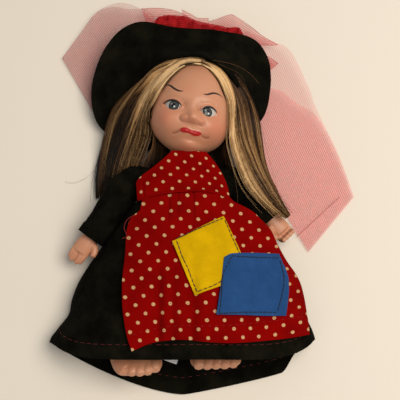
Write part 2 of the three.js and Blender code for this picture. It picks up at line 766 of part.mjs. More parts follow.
function makeWaistband() {
  const rings = [2 * GAP + CLOTH + APRON_CLOTH, 2 * GAP + CLOTH].map((lift) => [1, -1].map((end) => {
    const y = WAIST_Y + GAP + (end > 0 ? BAND_HEIGHT : 0);
    const section = torsoSection(WAIST_Y);
    return ring(at(0, y, BODY_Z), X, Z, section.halfWidth + lift, section.halfDepth + lift, 28)
      .map((p) => at(p.x, p.y, Math.max(p.z, lift - 2 * GAP - CLOTH > 0.5 ? 0.1 : 0.9)));
  }));
  return wall(rings[0], rings[1]);
}

function makeStrap() {
  const high = bodiceTop(24);
  const low = torsoRing(BODICE_SHOULDER, GAP + CLOTH, 24);
  const rings = [0.5 + APRON_CLOTH * 0.8, 0.5].map((lift) => [0.3, 0.85].map((share) => (
    high.map((p, i) => p.clone().lerp(low[i], share).add(at(0, lift, 0))))));
  return wall(rings[0], rings[1]);
}

function makeLabel() {
  const end = WAIST_Y - SKIRT_BACK + LABEL_ABOVE_HEM;
  const grid = (z) => [end, end + LABEL_LENGTH].map((y) => [-11, -11 + LABEL_WIDTH].map((x) => at(x, y, z)));
  return slab(grid(CLOTH + GAP + 0.5), grid(CLOTH + GAP));
}

// Hat mouth: slanted ring round the head, from the forehead to the nape.
const MOUTH_CENTRE = HEAD_CENTRE.clone().add(at(0.5, HEAD_HEIGHT / 2 - HAT_PULL, -4.7));
const MOUTH_ACROSS = at(Math.cos(HEAD_TILT), -Math.sin(HEAD_TILT), 0);
const MOUTH_FORWARD = at(0.1, 0.745, 0.66).normalize();
const MOUTH_BACK = MOUTH_FORWARD.clone().cross(MOUTH_ACROSS).normalize();

// Point seen from above at a distance from the hat's mouth, at a height over the table.
const hatPoint = (x, y, z) => at(MOUTH_CENTRE.x + x, MOUTH_CENTRE.y + y, z);
const CROWN_TIP = hatPoint(3.5, CROWN_LENGTH, 8);

const BRIM_EDGE = new THREE.CatmullRomCurve3([
  hatPoint(50, 19.5, 12), hatPoint(44, 33.5, 19), hatPoint(33, 43.5, 25), hatPoint(12, 49.5, 29),
  hatPoint(-9, 50, 30), hatPoint(-34, 52, 26), hatPoint(-54, 38.5, 19), hatPoint(-66, 13.5, 12),
  hatPoint(-61, -9.5, 8), hatPoint(-38, -21.5, 4.5), hatPoint(-8, -25.5, 3), hatPoint(24, -20.5, 4.5),
  hatPoint(45, -2.5, 8.5),
], true);

function mouthPoint(angle, grow) {
  return MOUTH_CENTRE.clone()
    .addScaledVector(MOUTH_ACROSS, (HAT_MOUTH_WIDTH / 2 + grow) * Math.cos(angle))
    .addScaledVector(MOUTH_FORWARD, (HAT_MOUTH_LENGTH / 2 + grow) * Math.sin(angle));
}

function brimPoint(share, angle) {
  const inner = mouthPoint(angle, 1.4);
  const turn = ((angle / (2 * Math.PI)) % 1 + 1) % 1;
  const outer = BRIM_EDGE.getPoint(turn);
  const point = inner.lerp(outer, share);
  point.z = Math.max(point.z - 5 * Math.sin(Math.PI * share) * smooth(-0.4, 0.6, Math.sin(angle)), 1.6);
  return point;
}

function makeBrim() {
  const columns = 36;
  const rows = 4;
  const side = (offset) => {
    const rings = [];
    for (let r = 0; r <= rows; r += 1) {
      const points = [];
      for (let i = 0; i < columns; i += 1) {
        const point = brimPoint(r / rows, (2 * Math.PI * i) / columns);
        points.push(point.addScaledVector(MOUTH_BACK, offset));
      }
      rings.push(points);
    }
    return rings;
  };
  return wall(side(BRIM_CLOTH), side(0));
}

// Crown: soft cone that lies back along the table behind the head.
function crownRing(share, grow, floor) {
  const points = [];
  for (let i = 0; i < 24; i += 1) {
    const angle = (2 * Math.PI * i) / 24;
    const start = mouthPoint(angle, grow).addScaledVector(MOUTH_BACK, BRIM_CLOTH + GAP);
    const round = ring(
      MOUTH_CENTRE.clone().lerp(CROWN_TIP, share ** 0.9).addScaledVector(Z, -4 * Math.sin(Math.PI * share)),
      MOUTH_ACROSS, MOUTH_FORWARD.clone().lerp(Z, smooth(0, 0.8, share)).normalize(),
      (HAT_MOUTH_WIDTH / 2 + 2) * (1 - share) ** 0.8 + 3 + grow,
      (HAT_MOUTH_LENGTH / 2 - 1) * (1 - share) + 2.5 + grow, 24,
    )[i];
    const point = start.lerp(round, smooth(0, 0.35, share));
    point.z = Math.max(point.z, floor);
    points.push(point);
  }
  return points;
}

function makeCrown() {
  const outer = [];
  const inner = [];
  for (let k = 0; k <= 6; k += 1) {
    outer.push(crownRing(k / 6.4, 1.2, 0.9));
    inner.push(crownRing(k / 6.4 * 0.985, 0, 0.9 + BRIM_CLOTH));
  }
  return bowl(outer, inner);
}

// Net ribbon: gathered bow above the brim and two long tails.
function makeBow() {
  const sizes = curve(at(3, 2.4, 0), at(9, 5, 0), at(6.5, 6, 0), at(9.5, 5.4, 0), at(3, 2.4, 0));
  const path = curve(
    hatPoint(-25, 59.5, 6.5), hatPoint(-12, 60.5, 8), hatPoint(4, 59.5, 8.5),
    hatPoint(20, 60, 8), hatPoint(32, 57, 6.5),
  );
  return loft(limbRings(path, sizes, 8, 10));
}

function makeTail(outerEdge, innerEdge, wave) {
  const rows = 12;
  const columns = 4;
  const grid = (lift) => {
    const points = [];
    for (let r = 0; r <= rows; r += 1) {
      const share = r / rows;
      const a = outerEdge.getPoint(share);
      const b = innerEdge.getPoint(share);
      const row = [];
      for (let c = 0; c <= columns; c += 1) {
        const t = c / columns;
        const p = a.clone().lerp(b, t);
        const swell = wave * Math.sin(5 * share + 2.4 * t) * Math.sin(Math.PI * Math.min(1, share + 0.15));
        row.push(at(p.x, p.y, Math.max(0.2, p.z + swell) + lift));
      }
      points.push(row);
    }
    return points;
  };
  return slab(grid(NET), grid(0));
}

function makeTailLeft() {
  const outer = curve(
    hatPoint(-25.5, 62, 6.6), hatPoint(-40, 68.5, 7), hatPoint(-54, 69.5, 6.5),
    hatPoint(-66, 61.5, 5), hatPoint(-87, 40.5, 2),
  );
  const inner = curve(
    hatPoint(-25.5, 57.3, 6), hatPoint(-40, 46.5, 3.5), hatPoint(-52, 32.5, 2.5),
    hatPoint(-61, 17.5, 2), hatPoint(-67, 4.5, 1.5),
  );
  return makeTail(outer, inner, 1.4);
}

function makeTailRight() {
  const outer = curve(
    hatPoint(32.7, 59.1, 6.6), hatPoint(50, 57.5, 8), hatPoint(66, 45.5, 7), hatPoint(84, 10.5, 5),
    hatPoint(TAIL_REACH - 7.5, -24.5, 3.5), hatPoint(TAIL_REACH, -48.5, 2.5),
  );
  const inner = curve(
    hatPoint(32.7, 54.5, 6), hatPoint(44, 44.5, 4), hatPoint(53, 24.5, 3), hatPoint(61.5, -11.5, 2.5),
    hatPoint(69.5, -54.5, 2), hatPoint(75.5, -TAIL_DROP, 1.5),
  );
  return makeTail(outer, inner, 1.6);
}

// Hair locks at each side of the face, blonde in front of dark
function makeLocks() {
  const deep = LOCK_DEPTH / 2;
  const onHead = (x, y, z) => at(x, y, z).add(HEAD_CENTRE);
  return {
    hair_front_left: makeLock(
      [
        onHead(-9.5, 25, 20.3), onHead(-21.5, 16, 17.3), onHead(-30, 1, 10.3), onHead(-36.5, -14, -1.2),
        at(-38, 28, 19.5), at(-46, 17, 13), at(-53, 5, 9),
      ],
      [
        at(5, deep, -0.4), at(7, deep, -0.7), at(7, deep, -0.9), at(8, deep, -0.8),
        at(8, deep, -0.6), at(6, deep, -0.3), at(2, 0.7, 0),
      ],
    ),
    hair_front_right: makeLock(
      [
        onHead(13.5, 21, 20), onHead(22.5, 10, 17.4), onHead(29, -4, 11.8), onHead(30.5, -18, 6.8),
        at(40, 22, 36.5), at(50, 4, 32), at(62, -10, 27.5),
      ],
      [
        at(5, deep, 0.4), at(7, deep, 0.7), at(7, deep, 0.9), at(8, deep, 0.5),
        at(9, deep, 0.2), at(7, deep, 0.2), at(2, 0.7, 0.2),
      ],
    ),
    hair_back_left: makeLock(
      [
        onHead(-26.4, 6.5, 1.8), onHead(-39, -8, -11.7), at(-44, 34, 9.5),
        at(-53, 22, 6), at(-58, 12, 5), at(-59, 3, 4),
      ],
      [
        at(3, deep, -1.2), at(6, deep, -0.7), at(8, deep, -0.3),
        at(8, deep, 0), at(6, deep, 0), at(2, 0.7, 0),
      ],
    ),
    hair_back_right: makeLock(
      [onHead(29.5, 1, -0.2), onHead(37, -11, -11.7), at(49, 34, 12), at(54, 25, 9), at(57, 16, 7.5)],
      [at(3, deep, 1.2), at(7, deep, 0.6), at(8, deep, 0.3), at(6, deep, 0), at(2, 0.7, 0)],
    ),
  };
}

const VINYL = { color: 0xd8a184, roughness: 0.5 };
const FELT = { color: 0x15141a, roughness: 0.95 };
const COTTON = { color: 0x8e0f12, roughness: 0.85 };
const TULLE = { color: 0xc8505a, roughness: 0.8, transparent: true, opacity: 0.5 };
const BLONDE = { color: 0xd2b27c, roughness: 0.45 };
const DARK_HAIR = { color: 0x1a1413, roughness: 0.45 };

const doll = new THREE.Group();
doll.name = 'witch_doll';
const figure = new THREE.Group();
figure.position.y = SEAT_TO_WAIST;
doll.add(figure);
const add = (name, geometry, look) => {
  const mesh = new THREE.Mesh(geometry, new THREE.MeshStandardMaterial(look));
  mesh.name = name;
  figure.add(mesh);
};
add('torso', makeTorso(), VINYL);
add('dress_bodice', makeBodice(), FELT);
add('dress_skirt', makeSkirt(), FELT);
add('apron_skirt', makeApronSkirt(), COTTON);
add('apron_bib', makeBib(), COTTON);
add('apron_waistband', makeWaistband(), COTTON);
add('apron_neck_strap', makeStrap(), COTTON);
add('patch_yellow', makePatchYellow(), { color: 0xe0ac12, roughness: 0.95 });
add('patch_blue', makePatchBlue(), { color: 0x245099, roughness: 0.95 });
add('care_label', makeLabel(), { color: 0xf0efec, roughness: 0.8 });
add('head', makeHead(), VINYL);
add('eye_left', ball(eyeCentre(-1), EYE_RADIUS), { color: 0x6d7478, roughness: 0.1 });
add('eye_right', ball(eyeCentre(1), EYE_RADIUS), { color: 0x6d7478, roughness: 0.1 });
add('hair_cap', makeHairCap(), DARK_HAIR);
Object.entries(makeLocks()).forEach(([name, geometry]) => (
  add(name, geometry, name.startsWith('hair_front') ? BLONDE : DARK_HAIR)));
add('hat_brim', makeBrim(), FELT);
add('hat_crown', makeCrown(), FELT);
add('hat_bow', makeBow(), TULLE);
add('hat_tail_left', makeTailLeft(), TULLE);
add('hat_tail_right', makeTailRight(), TULLE);
add('arm_left', makeArm(-1, false), VINYL);
add('arm_right', makeArm(1, true), VINYL);
add('sleeve_left', makeSleeve(-1), FELT);
add('sleeve_right', makeSleeve(1), FELT);
add('leg_left', makeLeg(-1), VINYL);
add('leg_right', makeLeg(1), VINYL);

export default doll;
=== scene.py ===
"""Dressed witch doll lying on its back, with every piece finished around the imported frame.

Sizes are millimetres in the doll's waist frame: X to the right, Y toward the head, Z up from the table.
"""
import logging
import math
from dataclasses import dataclass, field
from enum import Enum
from typing import Any, Callable, Mapping, Optional, Sequence, Tuple

import bpy
import numpy as np
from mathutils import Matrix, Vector


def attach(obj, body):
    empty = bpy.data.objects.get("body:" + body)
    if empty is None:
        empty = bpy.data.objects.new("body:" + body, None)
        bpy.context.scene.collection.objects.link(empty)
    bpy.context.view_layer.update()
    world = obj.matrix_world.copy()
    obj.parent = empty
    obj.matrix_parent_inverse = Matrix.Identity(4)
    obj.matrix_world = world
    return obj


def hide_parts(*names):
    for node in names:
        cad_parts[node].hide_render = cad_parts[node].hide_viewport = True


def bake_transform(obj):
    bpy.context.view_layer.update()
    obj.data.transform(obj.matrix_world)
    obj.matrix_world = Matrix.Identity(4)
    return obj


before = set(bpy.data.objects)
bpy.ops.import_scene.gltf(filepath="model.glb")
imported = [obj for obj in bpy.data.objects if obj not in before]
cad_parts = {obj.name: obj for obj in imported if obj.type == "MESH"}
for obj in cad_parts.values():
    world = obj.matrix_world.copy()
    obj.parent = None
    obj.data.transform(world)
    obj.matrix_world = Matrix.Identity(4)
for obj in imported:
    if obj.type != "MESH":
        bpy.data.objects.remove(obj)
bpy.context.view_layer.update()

LOG = logging.getLogger("witch_doll")

Array = np.ndarray
Piece = bpy.types.Object
Finish = bpy.types.Material
Colour = Tuple[float, float, float]
Point = Sequence[float]
Shape = Callable[[Array, Array], Array]
Hill = Tuple[float, Point, Point]
Random = np.random.Generator
Cells = Tuple[int, int]

# Frame and cloth
MM = 0.001
WAIST_SHIFT = 40.0
SEED = 7
GAP = 0.4
CLOTH = 1.0
APRON_CLOTH = 0.8
DOT_PITCH = 10.4

# Body
BODY_Z = 20.0
TORSO_TOP = 21.5
WAIST_Y = -3.0
SHOULDER_Y = 10.0
HIP_Y = -40.0
CHEST_WIDTH = 50.0
CHEST_DEPTH = 32.0
ARM_SEAT = 23.5
LEG_SEAT = 10.5

# Stretches where cloth and hair bend across a joint, as row-frame metres
SKIRT_BEND = ("torso", "leg_right", (0.0, 0.012, 0.019), (0.0, -0.020, 0.019))
HAIR_BEND = ("head", "torso", (0.0, 0.080, 0.025), (0.0, 0.055, 0.025))
LOCK_BEND = ("torso", "arm_right", (0.040, 0.053, 0.030), (0.040, 0.032, 0.030))


def to_row(points: Array) -> Array:
    """Turns waist-frame millimetres into row-frame metres."""
    return (np.asarray(points, float) + np.array([0.0, WAIST_SHIFT, 0.0])) * MM


def smooth(low: float, high: float, x: Array) -> Array:
    """Rises smoothly from 0 at low to 1 at high."""
    share = np.clip((x - low) / (high - low), 0.0, 1.0)
    return share * share * (3 - 2 * share)


def mix(a: Any, b: Any, share: Any) -> Any:
    """Blends a into b."""
    return a + (b - a) * share


def bump(x: Array, y: Array, centre: Point, size: Point) -> Array:
    """Round hill of height 1 at a centre, with its width and height in size."""
    return np.exp(-(((x - centre[0]) / size[0]) ** 2) - ((y - centre[1]) / size[1]) ** 2)


def hills(x: Array, y: Array, parts: Sequence[Hill]) -> Array:
    """Adds up round hills and hollows, each with its height, centre and size."""
    return sum(high * bump(x, y, centre, size) for high, centre, size in parts)


def ridge(away: Array, width: float) -> Array:
    """Soft ridge of height 1 along a line, from the distance to it."""
    return np.exp(-((away / width) ** 2))


def turned(x: Array, y: Array, centre: Point, degrees: float) -> Tuple[Array, Array]:
    """Gives places along and across a leaning line through a centre.

    Args:
        x: First coordinate of the places.
        y: Second coordinate of the places.
        centre: A point on the line.
        degrees: The line's lean.

    Returns:
        Places along the line and across it.
    """
    cosine, sine = math.cos(math.radians(degrees)), math.sin(math.radians(degrees))
    dx, dy = x - centre[0], y - centre[1]
    return dx * cosine + dy * sine, dy * cosine - dx * sine


def axes(along: Array) -> Tuple[Array, Array]:
    """Gives the level and the upright direction across a line."""
    across = unit(np.cross(along, np.array([0, 0, 1.0])))
    return across, np.cross(across, along)


def around(centre: Array, along: Array, size: Array, angle: Array) -> Array:
    """Gives points round a line, with its half width and half height in size.

    Args:
        centre: Points of the line.
        along: Its unit directions.
        size: Half width and half height at each point.
        angle: Angles round it.

    Returns:
        Points round the line.
    """
    across, up = axes(along)
    point = centre + across * (size[:, 0] * np.cos(angle))[:, None]
    return point + up * (size[:, 1] * np.sin(angle))[:, None]


def upward(line: Array, ahead: Array, aside: Array) -> Array:
    """Gives directions up out of a surface, from points a step ahead and a step aside."""
    out = np.cross(ahead - line, aside - line)
    return unit(out) * np.where(out[:, 2:] < 0, -1.0, 1.0)


def arc_length(line: Array) -> Array:
    """Gives the length of a line up to each of its points."""
    return np.concatenate([[0], np.cumsum(np.linalg.norm(np.diff(line, axis=0), axis=1))])


def unit(vectors: Array) -> Array:
    """Scales vectors to length 1."""
    return vectors / np.maximum(np.linalg.norm(vectors, axis=-1, keepdims=True), 1e-9)


def columns(*parts: Any) -> Array:
    """Stacks coordinates as the last axis of one array."""
    return np.stack(np.broadcast_arrays(*[np.asarray(p, float) for p in parts]), axis=-1)


def near_line(x: Array, y: Array, line: Sequence[Point]) -> Tuple[Array, Array]:
    """Measures how far points lie from a bent line.

    Args:
        x: First coordinate of the points.
        y: Second coordinate of the points.
        line: Corners of the line.

    Returns:
        The distance, and the share of the line's corners at the nearest place.
    """
    corners = np.asarray(line, float)
    best = np.full(np.shape(x), 1e9)
    share = np.zeros(np.shape(x))
    for k, (a, b) in enumerate(zip(corners[:-1], corners[1:])):
        d = b - a
        t = np.clip(((x - a[0]) * d[0] + (y - a[1]) * d[1]) / (d @ d), 0, 1)
        distance = np.hypot(x - a[0] - t * d[0], y - a[1] - t * d[1])
        closer = distance < best
        best = np.where(closer, distance, best)
        share = np.where(closer, (k + t) / (len(corners) - 1), share)
    return best, share


class Path:
    """Smooth line through given points, read at shares from 0 to 1."""

    def __init__(self, points: Sequence[Point], closed: bool = False) -> None:
        """Keeps the points.

        Args:
            points: Points that the line passes through.
            closed: Whether the line returns to its first point.
        """
        self.points = np.asarray(points, float)
        self.closed = closed

    def _corner(self, index: Array) -> Array:
        """Gives points by index, with one imagined point past each open end.

        Args:
            index: Indices, which may be one past an end.

        Returns:
            One point for each index.
        """
        count = len(self.points)
        if self.closed:
            return self.points[np.mod(index, count)]
        inner = self.points[np.clip(index, 0, count - 1)]
        before = 2 * self.points[0] - self.points[1]
        after = 2 * self.points[-1] - self.points[-2]
        inner = np.where((index < 0)[..., None], before, inner)
        return np.where((index >= count)[..., None], after, inner)

    def at(self, share: Any) -> Array:
        """Gives the line's points.

        Args:
            share: Places from 0 at the start to 1 at the end.

        Returns:
            One point for each place.
        """
        spans = len(self.points) if self.closed else len(self.points) - 1
        place = np.asarray(share, float)
        place = (np.mod(place, 1.0) if self.closed else np.clip(place, 0, 1)) * spans
        index = np.minimum(np.floor(place).astype(int), spans - 1)
        w = (place - index)[..., None]
        p0, p1, p2, p3 = (self._corner(index + k) for k in (-1, 0, 1, 2))

        def knot(a: Array, b: Array) -> Array:
            """Spacing between two points."""
            return np.maximum(np.sqrt(np.linalg.norm(b - a, axis=-1, keepdims=True)), 1e-3)

        d0, d1, d2 = knot(p0, p1), knot(p1, p2), knot(p2, p3)
        t1 = ((p1 - p0) / d0 - (p2 - p0) / (d0 + d1) + (p2 - p1) / d1) * d1
        t2 = ((p2 - p1) / d1 - (p3 - p1) / (d1 + d2) + (p3 - p2) / d2) * d1
        return p1 + t1 * w + (3 * (p2 - p1) - 2 * t1 - t2) * w**2 + (2 * (p1 - p2) + t1 + t2) * w**3

    def along(self, share: Any) -> Array:
        """Gives the line's unit directions.

        Args:
            share: Places from 0 to 1.

        Returns:
            One direction for each place.
        """
        step = 1e-3
        share = np.asarray(share, float)
        return unit(self.at(np.minimum(share + step, 1.0)) - self.at(np.maximum(share - step, 0.0)))


class Bench:
    """Modelling steps, done with Blender's own operators."""

    @staticmethod
    def only(obj: Piece) -> None:
        """Selects one object and makes it active.

        Args:
            obj: The object.
        """
        bpy.ops.object.select_all(action="DESELECT")
        obj.select_set(True)
        bpy.context.view_layer.objects.active = obj

    @staticmethod
    def coords(obj: Piece) -> Array:
        """Reads an object's points, in metres.

        Args:
            obj: The object.

        Returns:
            One row for each point.
        """
        flat = np.empty(len(obj.data.vertices) * 3)
        obj.data.vertices.foreach_get("co", flat)
        return flat.reshape(-1, 3)

    @staticmethod
    def move(obj: Piece, points: Array) -> None:
        """Writes an object's points, in metres."""
        obj.data.vertices.foreach_set("co", np.ascontiguousarray(points, float).ravel())
        obj.data.update()

    @classmethod
    def merge(cls, obj: Piece, outward: bool = True) -> None:
        """Closes seams and poles, and turns the faces outward where asked.

        Args:
            obj: The object.
            outward: Whether its faces are turned outward.
        """
        cls.only(obj)
        bpy.ops.object.mode_set(mode="EDIT")
        bpy.ops.mesh.select_all(action="SELECT")
        bpy.ops.mesh.remove_doubles(threshold=2e-6)
        if outward:
            bpy.ops.mesh.normals_make_consistent(inside=False)
        bpy.ops.object.mode_set(mode="OBJECT")

    @classmethod
    def add(cls, primitive: Callable[..., Any], name: str, **settings: Any) -> Piece:
        """Adds one of Blender's primitives and names it.

        Args:
            primitive: The operator that adds it.
            name: The piece's name.
            **settings: Its own settings.

        Returns:
            The piece.
        """
        bpy.ops.object.select_all(action="DESELECT")
        primitive(**settings)
        obj = bpy.context.active_object
        obj.name = name
        obj.data.name = name
        return obj

    @classmethod
    def grid(cls, name: str, shape: Shape, cells: Cells, flat: Optional[Shape] = None,
             wrapped: bool = False, solid: bool = False, wall: float = 0.0) -> Piece:
        """Lays a grid over a shape.

        Args:
            name: The piece's name.
            shape: Gives points in millimetres for u and v from 0 to 1.
            cells: Cells along u and along v.
            flat: Gives the cloth's own coordinates in millimetres for its UV map.
            wrapped: Whether the first and last columns meet.
            solid: Whether the shape closes on itself all round.
            wall: Thickness of a sheet, behind the side that it faces.

        Returns:
            The new object, at the origin.
        """
        obj = cls.add(bpy.ops.mesh.primitive_grid_add, name, x_subdivisions=cells[0],
                      y_subdivisions=cells[1], size=1.0)
        unit_square = cls.coords(obj) + 0.5
        u, v = unit_square[:, 0], unit_square[:, 1]
        cls.move(obj, to_row(shape(u, v)))
        if flat is not None:
            cls.unwrap(obj, flat(u, v))
        if wrapped or solid:
            cls.merge(obj, outward=solid)
        bpy.ops.object.shade_smooth()
        if wall:
            cls.modify(obj, "SOLIDIFY", thickness=wall * MM, offset=-1.0, use_even_offset=False)
            bpy.ops.object.shade_smooth_by_angle(angle=math.radians(50))
        return obj

    @staticmethod
    def unwrap(obj: Piece, places: Array) -> None:
        """Writes a UV map from one place for each point.

        Args:
            obj: The object.
            places: The cloth's own coordinates at each point.
        """
        mesh = obj.data
        corner = np.empty(len(mesh.loops), int)
        mesh.loops.foreach_get("vertex_index", corner)
        layer = mesh.uv_layers.active or mesh.uv_layers.new(name="UVMap")
        layer.data.foreach_set("uv", np.ascontiguousarray(places[corner], float).ravel())

    @classmethod
    def modify(cls, obj: Piece, kind: str, **settings: Any) -> None:
        """Adds a modifier with its settings and applies it.

        Args:
            obj: The object.
            kind: The modifier's type.
            **settings: Its own settings.
        """
        cls.only(obj)
        modifier = obj.modifiers.new(kind.lower(), kind)
        for key, value in settings.items():
            setattr(modifier, key, value)
        bpy.ops.object.modifier_apply(modifier=modifier.name)

    @classmethod
    def join(cls, name: str, pieces: Sequence[Piece]) -> Piece:
        """Joins objects into the first one and names it.

        Args:
            name: The piece's name.
            pieces: The objects.

        Returns:
            The joined object.
        """
        cls.only(pieces[0])
        for piece in pieces:
            piece.select_set(True)
        if len(pieces) > 1:
            bpy.ops.object.join()
        obj = bpy.context.active_object
        obj.name = name
        obj.data.name = name
        return obj

    @classmethod
    def mould(cls, obj: Piece, voxel: float, rounds: int) -> None:
        """Fuses overlapping forms into one moulded skin and softens it.

        Args:
            obj: The object.
            voxel: Size of its cells in millimetres.
            rounds: Rounds of softening.
        """
        cls.modify(obj, "REMESH", mode="VOXEL", voxel_size=voxel * MM)
        cls.modify(obj, "SMOOTH", factor=0.5, iterations=rounds)
        bpy.ops.object.shade_smooth()

    @staticmethod
    def mesh(name: str, points: Array, faces: Sequence[Sequence[int]]) -> Piece:
        """Makes an object from points in millimetres and faces.

        Args:
            name: The piece's name.
            points: Points in millimetres.
            faces: Indices of each face's points.

        Returns:
            The new object.
        """
        data = bpy.data.meshes.new(name)
        data.from_pydata(to_row(points).tolist(), [], faces)
        data.update()
        obj = bpy.data.objects.new(name, data)
        bpy.context.scene.collection.objects.link(obj)
        return obj

    @staticmethod
    def note(obj: Piece, name: str, values: Array) -> None:
        """Keeps one value for each point as a named attribute."""
        attribute = obj.data.attributes.new(name, "FLOAT", "POINT")
        attribute.data.foreach_set("value", np.ascontiguousarray(values, np.float32))

    @staticmethod
    def area(obj: Piece) -> float:
        """Adds up a mesh's faces, in square millimetres."""
        return sum(face.area for face in obj.data.polygons) / MM**2


class Wire:
    """Value on a shader socket, with arithmetic that adds Math nodes."""

    def __init__(self, shader: "Shader", socket: bpy.types.NodeSocket) -> None:
        """Keeps the shader and the socket that gives the value."""
        self.shader = shader
        self.socket = socket

    def __add__(self, other: Any) -> "Wire":
        """Adds."""
        return self.shader.math("ADD", self, other)

    __radd__ = __add__

    def __sub__(self, other: Any) -> "Wire":
        """Subtracts."""
        return self.shader.math("SUBTRACT", self, other)

    def __rsub__(self, other: Any) -> "Wire":
        """Subtracts this from another."""
        return self.shader.math("SUBTRACT", other, self)

    def __mul__(self, other: Any) -> "Wire":
        """Multiplies."""
        return self.shader.math("MULTIPLY", self, other)

    __rmul__ = __mul__

    def __truediv__(self, other: Any) -> "Wire":
        """Divides."""
        return self.shader.math("DIVIDE", self, other)

    def __pow__(self, other: Any) -> "Wire":
        """Raises to a power."""
        return self.shader.math("POWER", self, other)

    def __abs__(self) -> "Wire":
        """Drops the sign."""
        return self.shader.math("ABSOLUTE", self)

    def wrap(self) -> "Wire":
        """Keeps the part after the decimal point."""
        return self.shader.math("FRACT", self)

    def least(self, other: Any) -> "Wire":
        """Takes the smaller value."""
        return self.shader.math("MINIMUM", self, other)

    def most(self, other: Any) -> "Wire":
        """Takes the larger value."""
        return self.shader.math("MAXIMUM", self, other)

    def ease(self, low: float, high: float) -> "Wire":
        """Rises smoothly from 0 at low to 1 at high.

        Args:
            low: Value that gives 0.
            high: Value that gives 1.

        Returns:
            The value.
        """
        node = self.shader.node("ShaderNodeMapRange", {"interpolation_type": "SMOOTHSTEP"},
                                {"Value": self, "From Min": low, "From Max": high})
        return Wire(self.shader, node.outputs[0])


class Shader:
    """One material's nodes."""

    def __init__(self, name: str) -> None:
        """Starts an empty material.

        Args:
            name: The material's name.
        """
        self.material = bpy.data.materials.new(name)
        self.material.use_nodes = True
        self.tree = self.material.node_tree
        self.tree.nodes.clear()

    def node(self, kind: str, settings: Mapping[str, Any], inputs: Mapping[Any, Any]) -> bpy.types.Node:
        """Adds a node.

        Args:
            kind: The node's type.
            settings: Its own settings, set first.
            inputs: A value or a Wire for each named or numbered socket.

        Returns:
            The node.
        """
        node = self.tree.nodes.new(kind)
        for key, value in settings.items():
            setattr(node, key, value)
        for key, value in inputs.items():
            if isinstance(value, Wire):
                self.tree.links.new(value.socket, node.inputs[key])
            else:
                node.inputs[key].default_value = value
        return node

    def math(self, operation: str, *values: Any) -> Wire:
        """Adds a Math node on values."""
        node = self.node("ShaderNodeMath", {"operation": operation}, dict(enumerate(values)))
        return Wire(self, node.outputs[0])

    def place(self) -> Wire:
        """Gives the object's own coordinates in millimetres.

        Returns:
            The value.
        """
        coords = self.node("ShaderNodeTexCoord", {}, {})
        scaled = self.node("ShaderNodeVectorMath", {"operation": "SCALE"},
                           {0: Wire(self, coords.outputs["Object"]), "Scale": 1 / MM})
        return Wire(self, scaled.outputs[0])

    def cloth(self) -> Tuple[Wire, Wire, Wire]:
        """Gives the UV map in millimetres, as a vector and as its two numbers.

        Returns:
            The vector, its first number and its second one.
        """
        coords = self.node("ShaderNodeTexCoord", {}, {})
        vector = Wire(self, coords.outputs["UV"])
        parts = self.node("ShaderNodeSeparateXYZ", {}, {0: vector})
        return vector, Wire(self, parts.outputs[0]), Wire(self, parts.outputs[1])

    def kept(self, name: str) -> Wire:
        """Reads a named attribute."""
        node = self.node("ShaderNodeAttribute", {"attribute_name": name}, {})
        return Wire(self, node.outputs["Fac"])

    def noise(self, vector: Wire, scale: float, detail: float = 2.0, rough: float = 0.5) -> Wire:
        """Adds a noise texture, with its scale in features for each millimetre.

        Args:
            vector: Where it is read.
            scale: Features for each millimetre.
            detail: Finer layers of noise.
            rough: Weight of the finer layers.

        Returns:
            The value.
        """
        node = self.node("ShaderNodeTexNoise", {},
                         {"Vector": vector, "Scale": scale, "Detail": detail, "Roughness": rough})
        return Wire(self, node.outputs[0])

    def blend(self, share: Any, first: Any, second: Any) -> Wire:
        """Mixes two colours.

        Args:
            share: Share of the second colour.
            first: First colour.
            second: Second colour.

        Returns:
            The mixed colour.
        """
        def rgba(value: Any) -> Any:
            """Adds alpha to a plain colour."""
            return value if isinstance(value, Wire) else (*value, 1.0)

        node = self.node("ShaderNodeMix", {"data_type": "RGBA"},
                         {0: share, 6: rgba(first), 7: rgba(second)})
        return Wire(self, node.outputs[2])

    def relief(self, height: Wire, depth: float, strength: float = 1.0) -> Wire:
        """Turns a height into a bumped normal, with its depth in millimetres.

        Args:
            height: The height.
            depth: Its depth in millimetres.
            strength: Share of it that is used.

        Returns:
            The normal.
        """
        node = self.node("ShaderNodeBump", {},
                         {"Height": height, "Distance": depth * MM, "Strength": strength})
        return Wire(self, node.outputs[0])

    def finish(self, inputs: Mapping[str, Any]) -> Finish:
        """Ends the material with one Principled surface.

        Args:
            inputs: A value or a Wire for each socket.

        Returns:
            The material.
        """
        surface = self.node("ShaderNodeBsdfPrincipled", {}, inputs)
        self.node("ShaderNodeOutputMaterial", {}, {"Surface": Wire(self, surface.outputs[0])})
        return self.material


class Slot(Enum):
    """Material slots, one for each kind of finish."""

    VINYL = "vinyl"
    EYE = "eye"
    BLACK_FELT = "black_felt"
    COTTON = "dotted_cotton"
    YELLOW_FELT = "yellow_felt"
    BLUE_FELT = "blue_felt"
    TAPE = "white_tape"
    DARK_HAIR = "dark_hair"
    BLONDE_HAIR = "blonde_hair"
    NET = "red_net"


